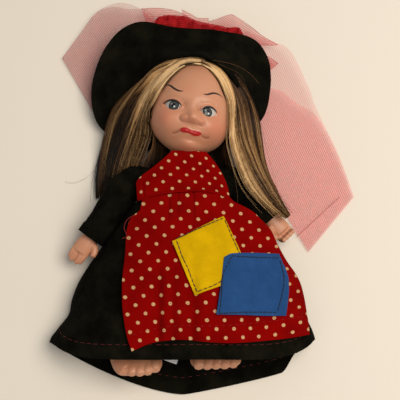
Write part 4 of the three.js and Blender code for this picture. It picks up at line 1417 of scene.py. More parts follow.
@dataclass
class Head:
    """Vinyl head: full cheeks, button nose, pursed lips, inset eyes and painted brows."""

    width: float = 50.0
    height: float = 62.0
    depth: float = 49.0
    tilt: float = math.radians(11)
    centre: Point = (5.5, 54.0, 30.2)
    neck_radius: float = 8.5
    eyes: Sequence[EyeShape] = (
        EyeShape(-1, (-11.5, -4.9), 5.9, 3.0, -2.95, -4.0, (-10.2, -5.1)),
        EyeShape(1, (11.5, -5.0), 4.9, 3.1, -3.4, 13.0, (10.6, -5.4)),
    )
    brows: Sequence[Sequence[Point]] = (
        ((-18.4, 8.2), (-16.9, 8.5), (-15.0, 7.8), (-12.0, 5.6), (-9.3, 4.3), (-7.5, 4.1), (-5.9, 4.4)),
        ((6.0, 4.9), (7.4, 4.9), (8.9, 5.4), (11.0, 6.9), (13.2, 7.8), (15.5, 7.9), (17.8, 7.0)),
    )
    lip_lobes: Sequence[Tuple[Point, Point, float]] = (
        ((-0.7, -18.7), (3.2, 1.4), 4), ((6.1, -19.3), (3.4, 1.4), 8), ((2.7, -19.1), (3.6, 1.05), -4))
    mouth_corners: Sequence[Sequence[Point]] = (
        ((-4.2, -19.3), (-6.0, -20.4), (-7.7, -20.9)), ((10.0, -19.7), (11.8, -20.1), (14.0, -19.2)))
    nose: Point = (3.3, -11.6)
    nose_height: float = 4.3
    nose_width: float = 4.6
    nose_under: float = 2.7
    # Line under the nose along which shade is painted on the skin.
    nose_shade_line: Sequence[Point] = (
        (-5.2, -12.4), (-3.2, -14.0), (-0.7, -14.1), (3.4, -14.4), (8.1, -14.2), (10.2, -12.6))
    nostrils: Sequence[Hill] = ((1.5, (-2.7, -12.1), (2.0, 1.8)), (0.8, (8.6, -12.7), (1.9, 1.6)))
    bridge: Hill = (0.9, (1.8, -5.0), (3.0, 5.0))
    cheeks: Sequence[Hill] = ((3.4, (-14.6, -15.4), (8, 7.6)), (3.4, (15.8, -15.0), (8, 7.6)))
    muzzle: Hill = (1.5, (2.7, -19.0), (7.5, 4.2))
    mouth: Point = (2.7, -18.7)
    lip_height: float = 1.25
    lip_parting: float = 0.5
    socket: float = 1.7
    socket_size: Point = (6.4, 4.4)
    brow_bone: float = 0.5
    brow_half: float = 0.64
    eye_cut: float = 4.2
    dents: Sequence[Hill] = (
        (-1.0, (3.2, -23.0), (5.0, 1.4)), (-1.0, (-7.6, -24.6), (4.2, 3.6)),
        (-0.8, (13.6, -24.4), (4.2, 3.6)))
    chin: Hill = (4.6, (3.3, -27.4), (7.6, 4.4))
    blushes: Sequence[Hill] = (
        (0.8, (-15.5, -13.5), (7, 6.5)), (0.8, (17.5, -13.5), (7, 6.5)), (0.5, (2, -12.5), (5, 3)),
        (0.4, (2, -27), (6, 4)))
    # Painted shade at the inner eye corners.
    eye_corner_shade: Sequence[Hill] = ((0.3, (-5.0, -3.2), (2.2, 2.6)), (0.3, (6.0, -4.0), (2.0, 2.6)))
    unpainted: float = 9.0

    def lips(self, x: Array, y: Array) -> Array:
        """Gives the distance to the painted lips' edge, below 0 inside.

        Args:
            x: First coordinate of the places.
            y: Second coordinate of the places.

        Returns:
            Distances in millimetres.
        """
        def lobe(centre: Point, size: Point, turn: float) -> Array:
            """Distance to one leaning oval."""
            along, across = turned(x, y, centre, turn)
            return (np.hypot(along / size[0], across / size[1]) - 1) * min(size)

        parts = [lobe(*part) for part in self.lip_lobes]
        rounded = -np.log(sum(np.exp(-4 * part) for part in parts)) / 4
        return rounded * 0.5 + np.min(parts, axis=0) * 0.5

    def push(self, x: Array, y: Array, carved: bool = True) -> Array:
        """Gives how far the front stands out of the plain head.

        Args:
            x: Places across the face.
            y: Places up the face.
            carved: Whether the eye openings are cut.

        Returns:
            Heights in millimetres.
        """
        tip_x, tip_y = self.nose
        under = np.where(y < tip_y, self.nose_under, self.nose_width)
        tip = np.hypot((x - tip_x) / self.nose_width, (y - tip_y) / under)
        out = self.nose_height * np.exp(-(tip**2.4))
        out = out + hills(x, y, (self.bridge, *self.cheeks, self.muzzle, *self.dents))
        for high, (at_x, at_y), (wide, tall) in self.nostrils:
            ring = np.hypot((x - at_x) / wide, (y - at_y) / tall)
            out = out + high * np.exp(-(ring**2.2)) - 0.25 * ridge(ring - 1.45, 0.25)
        lip = self.lips(x, y)
        out = out + self.lip_height * (1 - smooth(-1.5, 0.7, lip))
        aside = x - self.mouth[0]
        middle = self.mouth[1] - 0.35 * np.tanh(aside / 2) - 0.02 * aside
        out = out - self.lip_parting * ridge(y - middle, 0.38) * (1 - smooth(-0.4, 0.5, lip))
        for line in self.mouth_corners:
            away, share = near_line(x, y, line)
            out = out - 1.0 * ridge(away, 0.75) * (0.5 + 0.5 * np.sin(np.pi * np.clip(share, 0.1, 0.9)))
        for eye in self.eyes:
            out = out - self.socket * bump(x, y, eye.centre, self.socket_size)
            out = out + self.brow_bone * bump(x, y, (eye.centre[0], 2.6), (7, 2.4))
            away = eye.distance(x, y)
            _, across = turned(x, y, eye.centre, eye.turn)
            upper = smooth(-1.0, 1.2, across)
            out = out + (0.30 + 0.35 * upper) * ridge(away - 0.75, 0.7)
            out = out - (0.15 + 0.10 * upper) * ridge(away - 2.3, 0.8)
            inner = eye.centre[0] - eye.side * (eye.half_width + 1.6)
            out = out - 0.8 * bump(x, y, (inner, -3.4), (2.4, 3.2))
            if carved:
                out = out - self.eye_cut * (1 - smooth(-0.55, 0.1, away))
        return out

    @staticmethod
    def _full(high: Array) -> Array:
        """Widens the head at the cheeks and jaw."""
        return 1 + 0.05 * ridge(high + 0.42, 0.3) + 0.05 * ridge(high + 0.72, 0.2)

    @staticmethod
    def _sunk(high: Array) -> Array:
        """Shortens the head below the mouth."""
        return high + 0.075 * smooth(0.35, 1.0, -high)

    def local(self, theta: Array, phi: Array, lift: Any = 0.0, carved: bool = True) -> Array:
        """Gives head points before its tilt, from angles down from the top and round from the front.

        Args:
            theta: Angles down from the top.
            phi: Angles round from the front.
            lift: Height over the surface.
            carved: Whether the eye openings are cut.

        Returns:
            Points before the tilt.
        """
        high, wide = np.cos(theta), np.sin(theta)
        x = (self.width / 2 + lift) * self._full(high) * wide * np.sin(phi)
        y = (self.height / 2 + lift) * self._sunk(high)
        z = (self.depth / 2 + lift) * wide * np.cos(phi)
        facing = wide * np.cos(phi)
        chin = smooth(0, 0.36, facing) * hills(x, y, (self.chin,))
        return columns(x, y, z + smooth(0, 0.7, facing) * self.push(x, y, carved) + chin)

    def front(self, x: Array, y: Array, carved: bool = False) -> Array:
        """Gives points on the face at places seen square from the front.

        Args:
            x: First coordinate of the places.
            y: Second coordinate of the places.
            carved: Whether the eye openings are cut.

        Returns:
            Points before the tilt.
        """
        table = np.linspace(-1, 1, 400)
        high = np.interp(np.asarray(y, float) / (self.height / 2), self._sunk(table), table)
        wide = np.sqrt(1 - high**2)
        sine = np.clip(x / (self.width / 2 * self._full(high) * np.maximum(wide, 1e-6)), -0.999, 0.999)
        return self.local(np.arccos(high), np.arcsin(sine), 0.0, carved)

    def tip(self, points: Array) -> Array:
        """Tilts head points and sets them in place.

        Args:
            points: Points before the tilt.

        Returns:
            Points in the waist frame.
        """
        cosine, sine = math.cos(self.tilt), math.sin(self.tilt)
        x, y, z = points[..., 0], points[..., 1], points[..., 2]
        return columns(x * cosine + y * sine, y * cosine - x * sine, z) + np.array(self.centre)

    def on(self, theta: float, phi: float, lift: float) -> Array:
        """Gives one point over the head, from angles in degrees."""
        return self.tip(self.local(np.radians(theta), np.radians(phi), lift))

    def build(self, finishes: Finishes) -> None:
        """Makes and dresses the head's pieces.

        Args:
            finishes: All the materials.
        """
        skin = self._skin()
        settle(skin, finishes.face, Slot.VINYL, "head", ["head"])
        for eye in self.eyes:
            side = "left" if eye.side < 0 else "right"
            ball = self._eyeball(eye, f"eyeball_{side}")
            settle(ball, finishes.eyes[eye.side], Slot.EYE, "head", [f"eye_{side}"])
            lid = self._lid_line(eye, f"lid_line_{side}")
            settle(lid, finishes.lid, Slot.EYE, "head")

    def _skin(self) -> Piece:
        """Moulds the head's skin and marks where it is painted, painted shade included.

        Returns:
            The piece.
        """
        def spread(u: Array, v: Array) -> Tuple[Array, Array]:
            """Angles for the grid, closer together on the face."""
            s = 2 * u - 1
            return np.pi * (0.004 + 0.992 * (1 - v)), np.pi * (0.42 * s + 0.58 * s**3)

        def shape(u: Array, v: Array) -> Array:
            """Head's surface."""
            theta, phi = spread(u, v)
            return self.tip(self.local(theta, phi))

        obj = Bench.grid("head_skin", shape, (250, 270))
        plain = Bench.coords(obj) / MM - np.array([0, WAIST_SHIFT, 0]) - np.array(self.centre)
        cosine, sine = math.cos(self.tilt), math.sin(self.tilt)
        x = plain[:, 0] * cosine - plain[:, 1] * sine
        y = plain[:, 0] * sine + plain[:, 1] * cosine
        facing = smooth(0, 6, plain[:, 2])
        blush = hills(x, y, self.blushes)
        # Painted shade: inner eye corners, inside the eye openings, mouth corners and along the underside of
        # the nose.
        painted_shade = hills(x, y, self.eye_corner_shade)
        for eye in self.eyes:
            away = eye.distance(x, y)
            blush = blush + 0.35 * ridge(np.maximum(away, 0), 1.6)
            painted_shade = painted_shade + 1 - smooth(-0.3, 0.15, away)
        for line in self.mouth_corners:
            painted_shade = painted_shade + 0.55 * ridge(near_line(x, y, line)[0], 0.55)
        painted_shade = painted_shade + 0.26 * ridge(near_line(x, y, self.nose_shade_line)[0], 0.7)
        brow = np.full(len(x), self.unpainted)
        for line in self.brows:
            away, share = near_line(x, y, Path([(*p, 0) for p in line]).at(np.linspace(0, 1, 40))[:, :2])
            half = self.brow_half * np.sin(np.pi * np.clip(share, 0.05, 0.96)) ** 0.7
            brow = np.minimum(brow, away - half)
        Bench.note(obj, "blush", np.clip(blush, 0, 1) * facing * 0.7)
        Bench.note(obj, "painted_shade", np.clip(painted_shade, 0, 1) * facing)
        Bench.note(obj, "lip", np.where(facing > 0.5, self.lips(x, y), self.unpainted))
        Bench.note(obj, "brow", np.where(facing > 0.5, brow, self.unpainted))
        Bench.merge(obj)
        neck_line = columns(0.0, np.linspace(TORSO_TOP + 0.5, TORSO_TOP + 14, 12), BODY_Z + 1)
        neck = tube("neck", neck_line, self.neck_radius, 40)
        for name in ("lip", "brow"):
            Bench.note(neck, name, np.full(len(neck.data.vertices), self.unpainted))
        return Bench.join("head_skin", [obj, neck])

    def _eyeball(self, eye: EyeShape, name: str) -> Piece:
        """Makes one eyeball, marked by distance from its iris.

        Args:
            eye: The eye.
            name: The piece's name.

        Returns:
            The piece.
        """
        step = 0.4
        cx, cy = eye.centre
        middle = self.front(np.array(cx), np.array(cy))
        sides = np.array([cx + step, cx - step, cx, cx]), np.array([cy, cy, cy + step, cy - step])
        right_of, left_of, above, below = self.front(*sides)
        across, along = right_of - left_of, above - below
        out = unit(np.cross(across, along))
        hub = middle + out * (eye.stand - eye.ball)
        gaze = unit(np.array([*eye.iris_at, 0.0]) + np.array([0, 0, 1]) * (middle[2] + 1.0) - hub)
        obj = Bench.add(bpy.ops.mesh.primitive_uv_sphere_add, name, segments=72, ring_count=48, radius=1.0)
        ball = Bench.coords(obj)
        away = eye.ball * np.arccos(np.clip(ball @ gaze, -1, 1))
        right = unit(np.cross(np.array([0, 1.0, 0]), gaze))
        Bench.note(obj, "away", away)
        spin = np.arctan2(ball @ np.cross(gaze, right), ball @ right)
        Bench.note(obj, "spoke_x", np.cos(spin))
        Bench.note(obj, "spoke_y", np.sin(spin))
        dome = eye.dome * np.clip(1 - (away / eye.dome_radius) ** 2, 0, 1) ** 2
        Bench.move(obj, to_row(self.tip(hub + ball * (eye.ball + dome)[:, None])))
        bpy.ops.object.shade_smooth()
        return obj

    def _lid_line(self, eye: EyeShape, name: str) -> Piece:
        """Paints the dark line along the upper lid's edge, thick in the middle.

        Args:
            eye: The eye.
            name: The piece's name.

        Returns:
            The piece.
        """
        share = np.linspace(0.01, 0.99, 40)
        x, y = eye.rim(share, eye.upper, 0.12)
        line = self.tip(self.front(x, y) + np.array([0, 0, 0.15]))
        return tube(name, line, 0.18 + 0.44 * np.sin(np.pi * share) ** 0.9, 8)


@dataclass
class HairSection:
    """Strands that fill the space between guide lines, from the face's side outward."""

    guides: Sequence[Sequence[Point]]
    count: int
    tones: Sequence[float]
    depth: float = 2.2
    radius: float = 0.12
    ragged: float = 0.16
    steps: int = 18
    # Tone added along the strands: partly the hair's own darker lengths, partly painted light and shade.
    tone_and_painted_light: Sequence[float] = (0.0, -0.1)
    clumps: int = 18
    root: float = 0.035
    gather: float = 0.45
    loose: float = 0.05
    tone_spread: float = 0.13

    def lines(self, rng: Random) -> Tuple[Array, Array, Array]:
        """Grows the strands.

        Args:
            rng: Source of their differences.

        Returns:
            Points, radii and tones, as strands by steps.
        """
        end = 1 - self.ragged * rng.random(self.count) ** 1.6
        root = self.root * rng.random(self.count)[:, None]
        share = mix(root, end[:, None], np.linspace(0, 1, self.steps)[None, :])
        guides = np.stack([Path(g).at(share) for g in self.guides], axis=2)
        place = rng.random(self.count)
        clump = np.round(place * self.clumps + rng.normal(0, 0.25, self.count)) / self.clumps
        beat = share * rng.uniform(0.5, 1.4, (self.count, 1)) + rng.random((self.count, 1))
        sway = np.sin(2 * np.pi * beat)
        across = mix(place[:, None], np.clip(clump, 0, 1)[:, None], self.gather * smooth(0.42, 1, share))
        across = np.clip(across + 0.04 * sway * share, 0, 1) * (len(self.guides) - 1)
        low = np.clip(np.floor(across).astype(int), 0, len(self.guides) - 2)
        first = np.take_along_axis(guides, low[..., None, None], axis=2)[:, :, 0]
        second = np.take_along_axis(guides, low[..., None, None] + 1, axis=2)[:, :, 0]
        points = mix(first, second, (across - low)[..., None])
        points = points + self._body(rng, guides, points, share, across / (len(self.guides) - 1))
        points[..., 2] = np.maximum(points[..., 2], 0.5)
        radii = self.radius * (1 - 0.55 * smooth(0.7, 1, share / end[:, None]))
        tone = np.interp(place, np.linspace(0, 1, len(self.tones)), self.tones)[:, None]
        tone = tone + rng.normal(0, self.tone_spread, (self.count, 1))
        tone = tone + 0.10 * np.sin(29 * place + 1)[:, None]
        # Painted light and shade along each strand, mixed with the hair's own darker and lighter lengths.
        lower = share + 0.1 * np.sin(9 * place)[:, None]
        shade = np.interp(lower, np.linspace(0, 1, len(self.tone_and_painted_light)), self.tone_and_painted_light)
        tone = tone + shade * rng.uniform(0.4, 1.3, (self.count, 1))
        return points, radii, np.clip(tone, 0.02, 1.0)

    def _body(self, rng: Random, guides: Array, points: Array, share: Array, across: Array) -> Array:
        """Gives each strand's place in the lock's thickness, and a few loose ones.

        Args:
            rng: Source of the differences.
            guides: Points of the guides at each step.
            points: Points of the strands.
            share: Places along the guides.
            across: Places between the guides.

        Returns:
            Moves of the strands' points.
        """
        along = unit(np.gradient(points, axis=1))
        side = unit(guides[:, :, -1] - guides[:, :, 0])
        out = unit(np.cross(side, along))
        out = out * np.where(out[..., 2:] < 0, -1.0, 1.0)
        layer = (rng.random(self.count) ** 0.7 - 0.6)[:, None]
        thick = self.depth * (0.4 + 0.6 * np.sin(np.pi * np.clip(across, 0.05, 0.95)))
        lift = layer * thick * (1 - 0.4 * smooth(0.75, 1, share)) * smooth(-0.15, 0.25, share)
        lift = lift + 0.3 * np.sin(6 * share + 17 * across)
        free = (rng.random(self.count) < self.loose)[:, None]
        loose = free * rng.normal(0, 2.6, (self.count, 1)) * share**2
        return out * lift[..., None] + side * loose[..., None]


def hair_mesh(name: str, lines: Array, radii: Array, tones: Array) -> Piece:
    """Makes a lock of strands that keep their tones.

    Args:
        name: The piece's name.
        lines: Points in millimetres, as strands by steps by three.
        radii: Radii, as strands by steps.
        tones: Tones, as strands by steps.

    Returns:
        The piece.
    """
    obj = strand_mesh(name, lines, radii)
    Bench.note(obj, "tone", np.repeat(tones.ravel(), 3))
    return obj


@dataclass
class Hair:
    """Rooted hair: scalp, blonde front with a parting, dark falls behind it and a few stray hairs."""

    head: Head
    cap: float = 0.5
    thickness: float = 1.2
    hairline: Point = (31.5, 112.0)
    groove: float = 0.18
    scalp_tone: float = 0.2
    lock_split: float = 0.75
    stray_radius: float = 0.065
    stray_tones: Sequence[float] = (0.3, 0.5, 0.45, 0.4, 0.5, 0.15, 0.15)

    def build(self, finishes: Finishes) -> None:
        """Makes and dresses the hair.

        Args:
            finishes: All the materials.
        """
        rng = np.random.default_rng(SEED)
        settle(self._scalp(), finishes.hair, Slot.DARK_HAIR, "head", ["hair_cap"])
        for name, section, slot, node in (
                ("hair_front_left_strands", self._front_left(), Slot.BLONDE_HAIR, ["hair_front_left"]),
                ("hair_edge_left_shade_strands", self._hairline_shade(-1), Slot.BLONDE_HAIR, []),
                ("hair_edge_right_shade_strands", self._hairline_shade(1), Slot.BLONDE_HAIR, []),
                ("hair_left_wisps", self._left_wisps(), Slot.BLONDE_HAIR, []),
                ("hair_back_left_strands", self._back_left(), Slot.DARK_HAIR, ["hair_back_left"]),
                ("hair_nape_strands", self._nape(), Slot.DARK_HAIR, [])):
            settle(hair_mesh(name, *section.lines(rng)), finishes.hair, slot, HAIR_BEND, node)
        ends = []
        for name, section, slot, node in (
                ("hair_front_right_strands", self._front_right(), Slot.BLONDE_HAIR, ["hair_front_right"]),
                ("hair_back_right_strands", self._back_right(), Slot.DARK_HAIR, ["hair_back_right"])):
            grown = section.lines(rng)
            split = round(self.lock_split * (section.steps - 1))
            upper = hair_mesh(name, *[part[:, :split + 1] for part in grown])
            settle(upper, finishes.hair, slot, HAIR_BEND, node)
            ends.append(hair_mesh(name + "_end", *[part[:, split:] for part in grown]))
        settle(Bench.join("hair_right_lock_end", ends), finishes.hair, Slot.BLONDE_HAIR, LOCK_BEND)
        settle(self._strays(), finishes.hair, Slot.BLONDE_HAIR, HAIR_BEND)

    def _scalp(self) -> Piece:
        """Covers the top and back of the head down to the hairline.

        Returns:
            The piece.
        """
        def shape(u: Array, v: Array) -> Array:
            """Scalp's surface."""
            phi = 2 * np.pi * u
            behind = (1 - np.cos(phi)) / 2
            theta = np.radians(mix(*self.hairline, behind**0.8)) * v + 0.02
            groove = self.groove * np.sin(90 * phi)
            return self.head.tip(self.head.local(theta, phi, self.cap + groove * v))

        obj = Bench.grid("scalp", shape, (180, 50), wrapped=True, wall=self.thickness)
        Bench.note(obj, "tone", np.full(len(obj.data.vertices), self.scalp_tone))
        return obj

    def _front_left(self) -> HairSection:
        """Blonde section from the parting down the face's left side, painted lighter near the top and darker
        in its lower half: partly brown hair, partly painted shade.

        Returns:
            The section.
        """
        on = self.head.on
        return HairSection([
            [on(34.2, 9, 0.5), on(35.0, -11, 0.7), on(38.2, -27, 0.8), on(55.5, -39.5, 1.0), on(71, -47, 1.4),
             on(82, -53, 1.6), on(94, -61, 2.0), on(105, -73, 3.0), (-22.3, 39.1, 29), (-26.9, 27.4, 23.5),
             (-30.6, 17.5, 21.5)],
            [on(27, 11, 2.2), on(28.5, -17, 2.3), on(31.5, -40, 2.4), on(50, -54, 2.6), on(66, -60, 3.0),
             on(79, -66, 3.4), on(90, -72, 4.0), (-27.5, 47.5, 30), (-31.5, 37, 24), (-36, 25.5, 20),
             (-39.5, 13.5, 17.5)],
            [on(22, 12, 3.0), on(24, -22, 3.1), on(27.5, -50, 3.2), on(44, -66, 3.6), on(60, -73, 4.2),
             on(73, -78, 5.0), (-28.5, 57.5, 32), (-33.9, 48.2, 25.5), (-38.7, 37, 19.5), (-43.4, 24, 15),
             (-46.5, 9.5, 12.5)],
            [on(18, 12, 3.4), on(20, -26, 3.5), on(23, -58, 3.6), (-18.8, 75, 43), (-26.3, 69.5, 35),
             (-34, 63, 27), (-40.5, 55, 20.5), (-45.5, 46, 14.5), (-49, 35, 10.5), (-51, 21, 8),
             (-53, 6.5, 6.5)],
        ], 2300, (1.0, 1.0, 1.0, 0.97, 0.88, 0.74, 0.62, 0.5), depth=2.4, ragged=0.2, steps=20,
            # Painted light near the top, and painted shade on top of the brown lower down.
            tone_and_painted_light=(-0.2, 0.15, 0.25, 0.3, 0.25, 0.0, -0.42, -0.7, -0.8, -0.8, -0.75))

    def _hairline_shade(self, side: int) -> HairSection:
        """Short darker strands along the face where the hair is rooted, laid there as painted shade along the
        hairline.

        Args:
            side: -1 for the left one, 1 for the right one.

        Returns:
            The section.
        """
        on = self.head.on
        inner, outer = [
            [on(35.6, 4, 0.2), on(36.8, -12, 0.2), on(40, -26, 0.3), on(57.2, -38, 0.4), on(72.4, -45.6, 0.6),
             on(83, -52, 0.8)],
            [on(34.4, 4, 0.8), on(35.2, -12, 0.9), on(38.2, -28, 1.0), on(55.5, -40, 1.2), on(71, -47.4, 1.5),
             on(82, -54, 1.8)],
        ] if side < 0 else [
            [on(35.2, 7, 0.2), on(38.6, 16, 0.2), on(45.4, 24.4, 0.3), on(58, 37, 0.4), on(69.4, 44.4, 0.6),
             on(80, 53.6, 0.8)],
            [on(33.8, 7, 0.8), on(37, 17, 0.9), on(44, 26, 1.0), on(56.5, 39, 1.2), on(68, 46, 1.5),
             on(79, 56, 1.8)],
        ]
        return HairSection([inner, outer], 110, (0.25, 0.5, 0.85), depth=0.8, radius=0.09, ragged=0.45,
                           clumps=7)

    def _left_wisps(self) -> HairSection:
        """Thin pale strands over the left of the brim.

        Returns:
            The section.
        """
        return HairSection([
            [(-6, 80, 50.5), (-18.8, 75.9, 44.6), (-30, 68, 32.5), (-38, 59, 24.5), (-44, 47, 17),
             (-48, 30, 11), (-50, 20, 9), (-51, 10, 8)],
            [(2, 82, 50.5), (-12, 80.5, 47.5), (-26.3, 73, 36.6), (-36, 68, 27.5), (-45.5, 60, 19.5),
             (-51.5, 46, 12), (-55, 24, 6.5), (-55.5, 6, 4.5)],
        ], 80, (0.5, 0.7, 0.5, 0.4), depth=1.2, radius=0.08, ragged=0.35, clumps=9)

    def _back_left(self) -> HairSection:
        """Dark fall behind the left side, lying on the table and the shoulder.

        Returns:
            The section.
        """
        on = self.head.on
        return HairSection([
            [on(92, -64, 1.2), (-20.5, 41, 26), (-22.5, 33, 24.5), (-24.5, 27, 23.5), (-27, 21, 23),
             (-29, 14, 22.5)],
            [on(80, -72, 2.0), (-24.5, 46, 26), (-30, 37, 21), (-35, 28, 18), (-38, 18, 15), (-41, 8, 13)],
            [on(70, -85, 3.0), (-32, 56, 23), (-41, 43, 13), (-47, 29, 9), (-50, 15, 7.5), (-51, 4, 6)],
            [on(64, -98, 3.0), (-39, 60, 17), (-50, 46, 9), (-55, 30, 5), (-57, 16, 4), (-57, 3, 3)],
        ], 2100, (0.2, 0.14, 0.22, 0.10, 0.3, 0.05), depth=2.6)

    def _nape(self) -> HairSection:
        """Dark hair behind the neck, over the collar and shoulders.

        Returns:
            The section.
        """
        on = self.head.on
        return HairSection([
            [on(104, -66, 1.0), (-19.5, 33, 26), (-24, 24, 23.5), (-29.5, 14, 22)],
            [on(112, -90, 1.0), (-14, 29, 20), (-18, 22, 16), (-23, 12, 12)],
            [on(118, -150, 0.5), (-4, 30, 7), (-6, 18, 4), (-8, 6, 3)],
            [on(118, 150, 0.5), (12, 30, 7), (12, 18, 4), (12, 6, 3)],
            [on(112, 90, 1.0), (24, 28, 22), (26, 21, 20), (28, 12, 18)],
            [on(104, 66, 1.0), (28, 33, 32), (29, 24, 32.5), (32, 12, 32)],
        ], 2000, (0.3, 0.12, 0.05, 0.05, 0.15, 0.4), depth=2.0, steps=14, ragged=0.4)

    def _back_right(self) -> HairSection:
        """Dark fall behind the right side, over the brim and along the lock's outer edge.

        Returns:
            The section.
        """
        on = self.head.on
        return HairSection([
            [on(24, 42, 2.4), on(50, 60, 3.0), on(78, 73, 3.8), (35.5, 44, 33.5), (38, 32, 36),
             (43, 18, 37.5), (50, 5, 35.5), (58, -6, 31), (65, -13.5, 27)],
            [on(25, 60, 3.8), on(48, 76, 4.4), (39, 62, 31), (42.5, 49, 25), (44.5, 35, 24.5), (47.5, 20, 29),
             (52.5, 6.5, 31.5), (59.5, -5, 29), (65.3, -13, 26.8)],
            [on(23, 66, 4.2), (35, 74, 38), (43, 65, 26), (48, 54, 17.5), (50, 41, 13), (51.5, 27, 15),
             (55, 12, 22), (61, -2, 25.5), (66.5, -12, 26)],
        ], 2100, (0.5, 0.38, 0.46, 0.32, 0.44, 0.28), depth=2.6, steps=24,
            tone_and_painted_light=(-0.4, -0.3, -0.16, -0.03, 0.05, 0.05, 0.0, -0.1))

    def _front_right(self) -> HairSection:
        """Blonde section from the parting down the right side and over the right sleeve.

        Returns:
            The section.
        """
        on = self.head.on
        return HairSection([
            [on(33.6, 1, 0.7), on(44, 25, 1.0), on(56.5, 38, 1.1), on(68, 45.4, 1.4), on(79, 55, 1.6),
             on(92, 60, 2.0), on(104, 66, 2.8), (29, 33, 36.5), (32, 20.5, 38), (39.5, 4, 36.5),
             (52, -8, 31.5), (63.2, -14.5, 27.5)],
            [on(27, 0, 2.2), on(38, 36, 2.4), on(52, 49, 2.6), on(65, 55, 3.0), on(77, 62, 3.2),
             on(89, 66, 3.4), (31.5, 42, 37), (33.5, 31.5, 37.5), (37, 19.5, 39), (44, 4.8, 37.5),
             (54.5, -7, 32), (64, -14, 27.5)],
            [on(22, 0, 3.0), on(33, 44, 3.2), on(47, 58, 3.4), on(60, 64, 3.6), on(73, 69, 3.8),
             on(85, 72, 4.0), (34.5, 42, 35), (37, 30.5, 36.5), (41.5, 18.5, 38.5), (48, 5.8, 37),
             (57, -6, 32), (64.8, -13.4, 27.3)],
        ], 2300, (0.95, 1.0, 0.98, 0.92, 0.8, 0.7, 0.6, 0.5), depth=2.6, steps=26,
            # Darker partway down near the cheek: partly brown hair, partly painted shade.
            tone_and_painted_light=(-0.25, 0, -0.03, -0.12, -0.36, -0.42, -0.25, -0.12, -0.2, -0.34, -0.5))

    def _strays(self) -> Piece:
        """Lets a few single hairs wander over the table, brim and sleeve.

        Returns:
            The piece.
        """
        paths = (
            [(-37.7, 19.7, 21), (-46.7, 20.0, 19), (-55.6, 20.8, 12), (-65.3, 16.5, 2), (-72.9, 14.3, 0.8),
             (-77.6, 15.3, 0.6)],
            [(18.4, 80.1, 51.5), (31.4, 79.5, 45), (41, 77.5, 36), (48, 74, 26)],
            [(22, 78, 50.5), (36, 74, 40), (42, 62, 29), (46, 48, 21)],
            [(-30.5, 26, 23), (-30, 14, 24), (-31, 4, 22), (-35, -6, 24)],
            [(29, 26, 38), (31, 14, 37), (33, 2, 36), (33.5, -6, 37)],
            [(48, 58, 18), (51, 40, 10), (53, 22, 8), (56.5, 8, 9)],
            [(50, 52, 13), (53, 38, 8), (57, 22, 6), (60, 10, 6)],
        )
        share = np.linspace(0, 1, 30)
        lines = np.stack([Path(points).at(share) for points in paths])
        radii = np.full(lines.shape[:2], self.stray_radius)
        tones = np.repeat(np.array(self.stray_tones)[:, None], len(share), axis=1)
        return hair_mesh("hair_strays", lines, radii, tones)


@dataclass(frozen=True)
class NetLayer:
    """One layer of net between two edges, with the direction of its ribs seen from above."""

    name: str
    outer: Sequence[Point]
    inner: Sequence[Point]
    wave: float
    cells: Cells
    grain: Point

    def build(self) -> Piece:
        """Lays the layer.

        Returns:
            The layer, marked with the distance from its edges.
        """
        outer, inner = Path(self.outer), Path(self.inner)
        along_x, along_y = self.grain

        def between(u: Array, v: Array) -> Array:
            """Places between the edges."""
            return mix(outer.at(v), inner.at(v), u[..., None])

        def flat(u: Array, v: Array) -> Array:
            """Net's own coordinates, across and along its ribs."""
            point = between(u, v)
            return columns(point[..., 0] * along_y - point[..., 1] * along_x,
                           point[..., 0] * along_x + point[..., 1] * along_y)

        def shape(u: Array, v: Array) -> Array:
            """Net's surface."""
            point = between(u, v)
            swell = self.wave * np.sin(5 * v + 2.4 * u) * np.sin(np.pi * np.minimum(1, v + 0.15))
            fold = 0.4 * self.wave * np.sin(9 * u + 4 * v) * np.sin(np.pi * v)
            point[..., 2] = np.maximum(point[..., 2] + swell + fold, 0.5)
            return point

        obj = Bench.grid(self.name, shape, self.cells, flat)
        steps = [np.linspace(0, 1, count + 1) for count in self.cells]
        u, v = (part.ravel() for part in np.meshgrid(*steps))
        width = np.linalg.norm(outer.at(v) - inner.at(v), axis=-1)
        places = np.linspace(0, 1, 200)
        reach = arc_length(outer.at(places))
        end = reach[-1] - np.interp(v, places, reach)
        Bench.note(obj, "edge", np.minimum(width * np.minimum(u, 1 - u), end))
        return obj


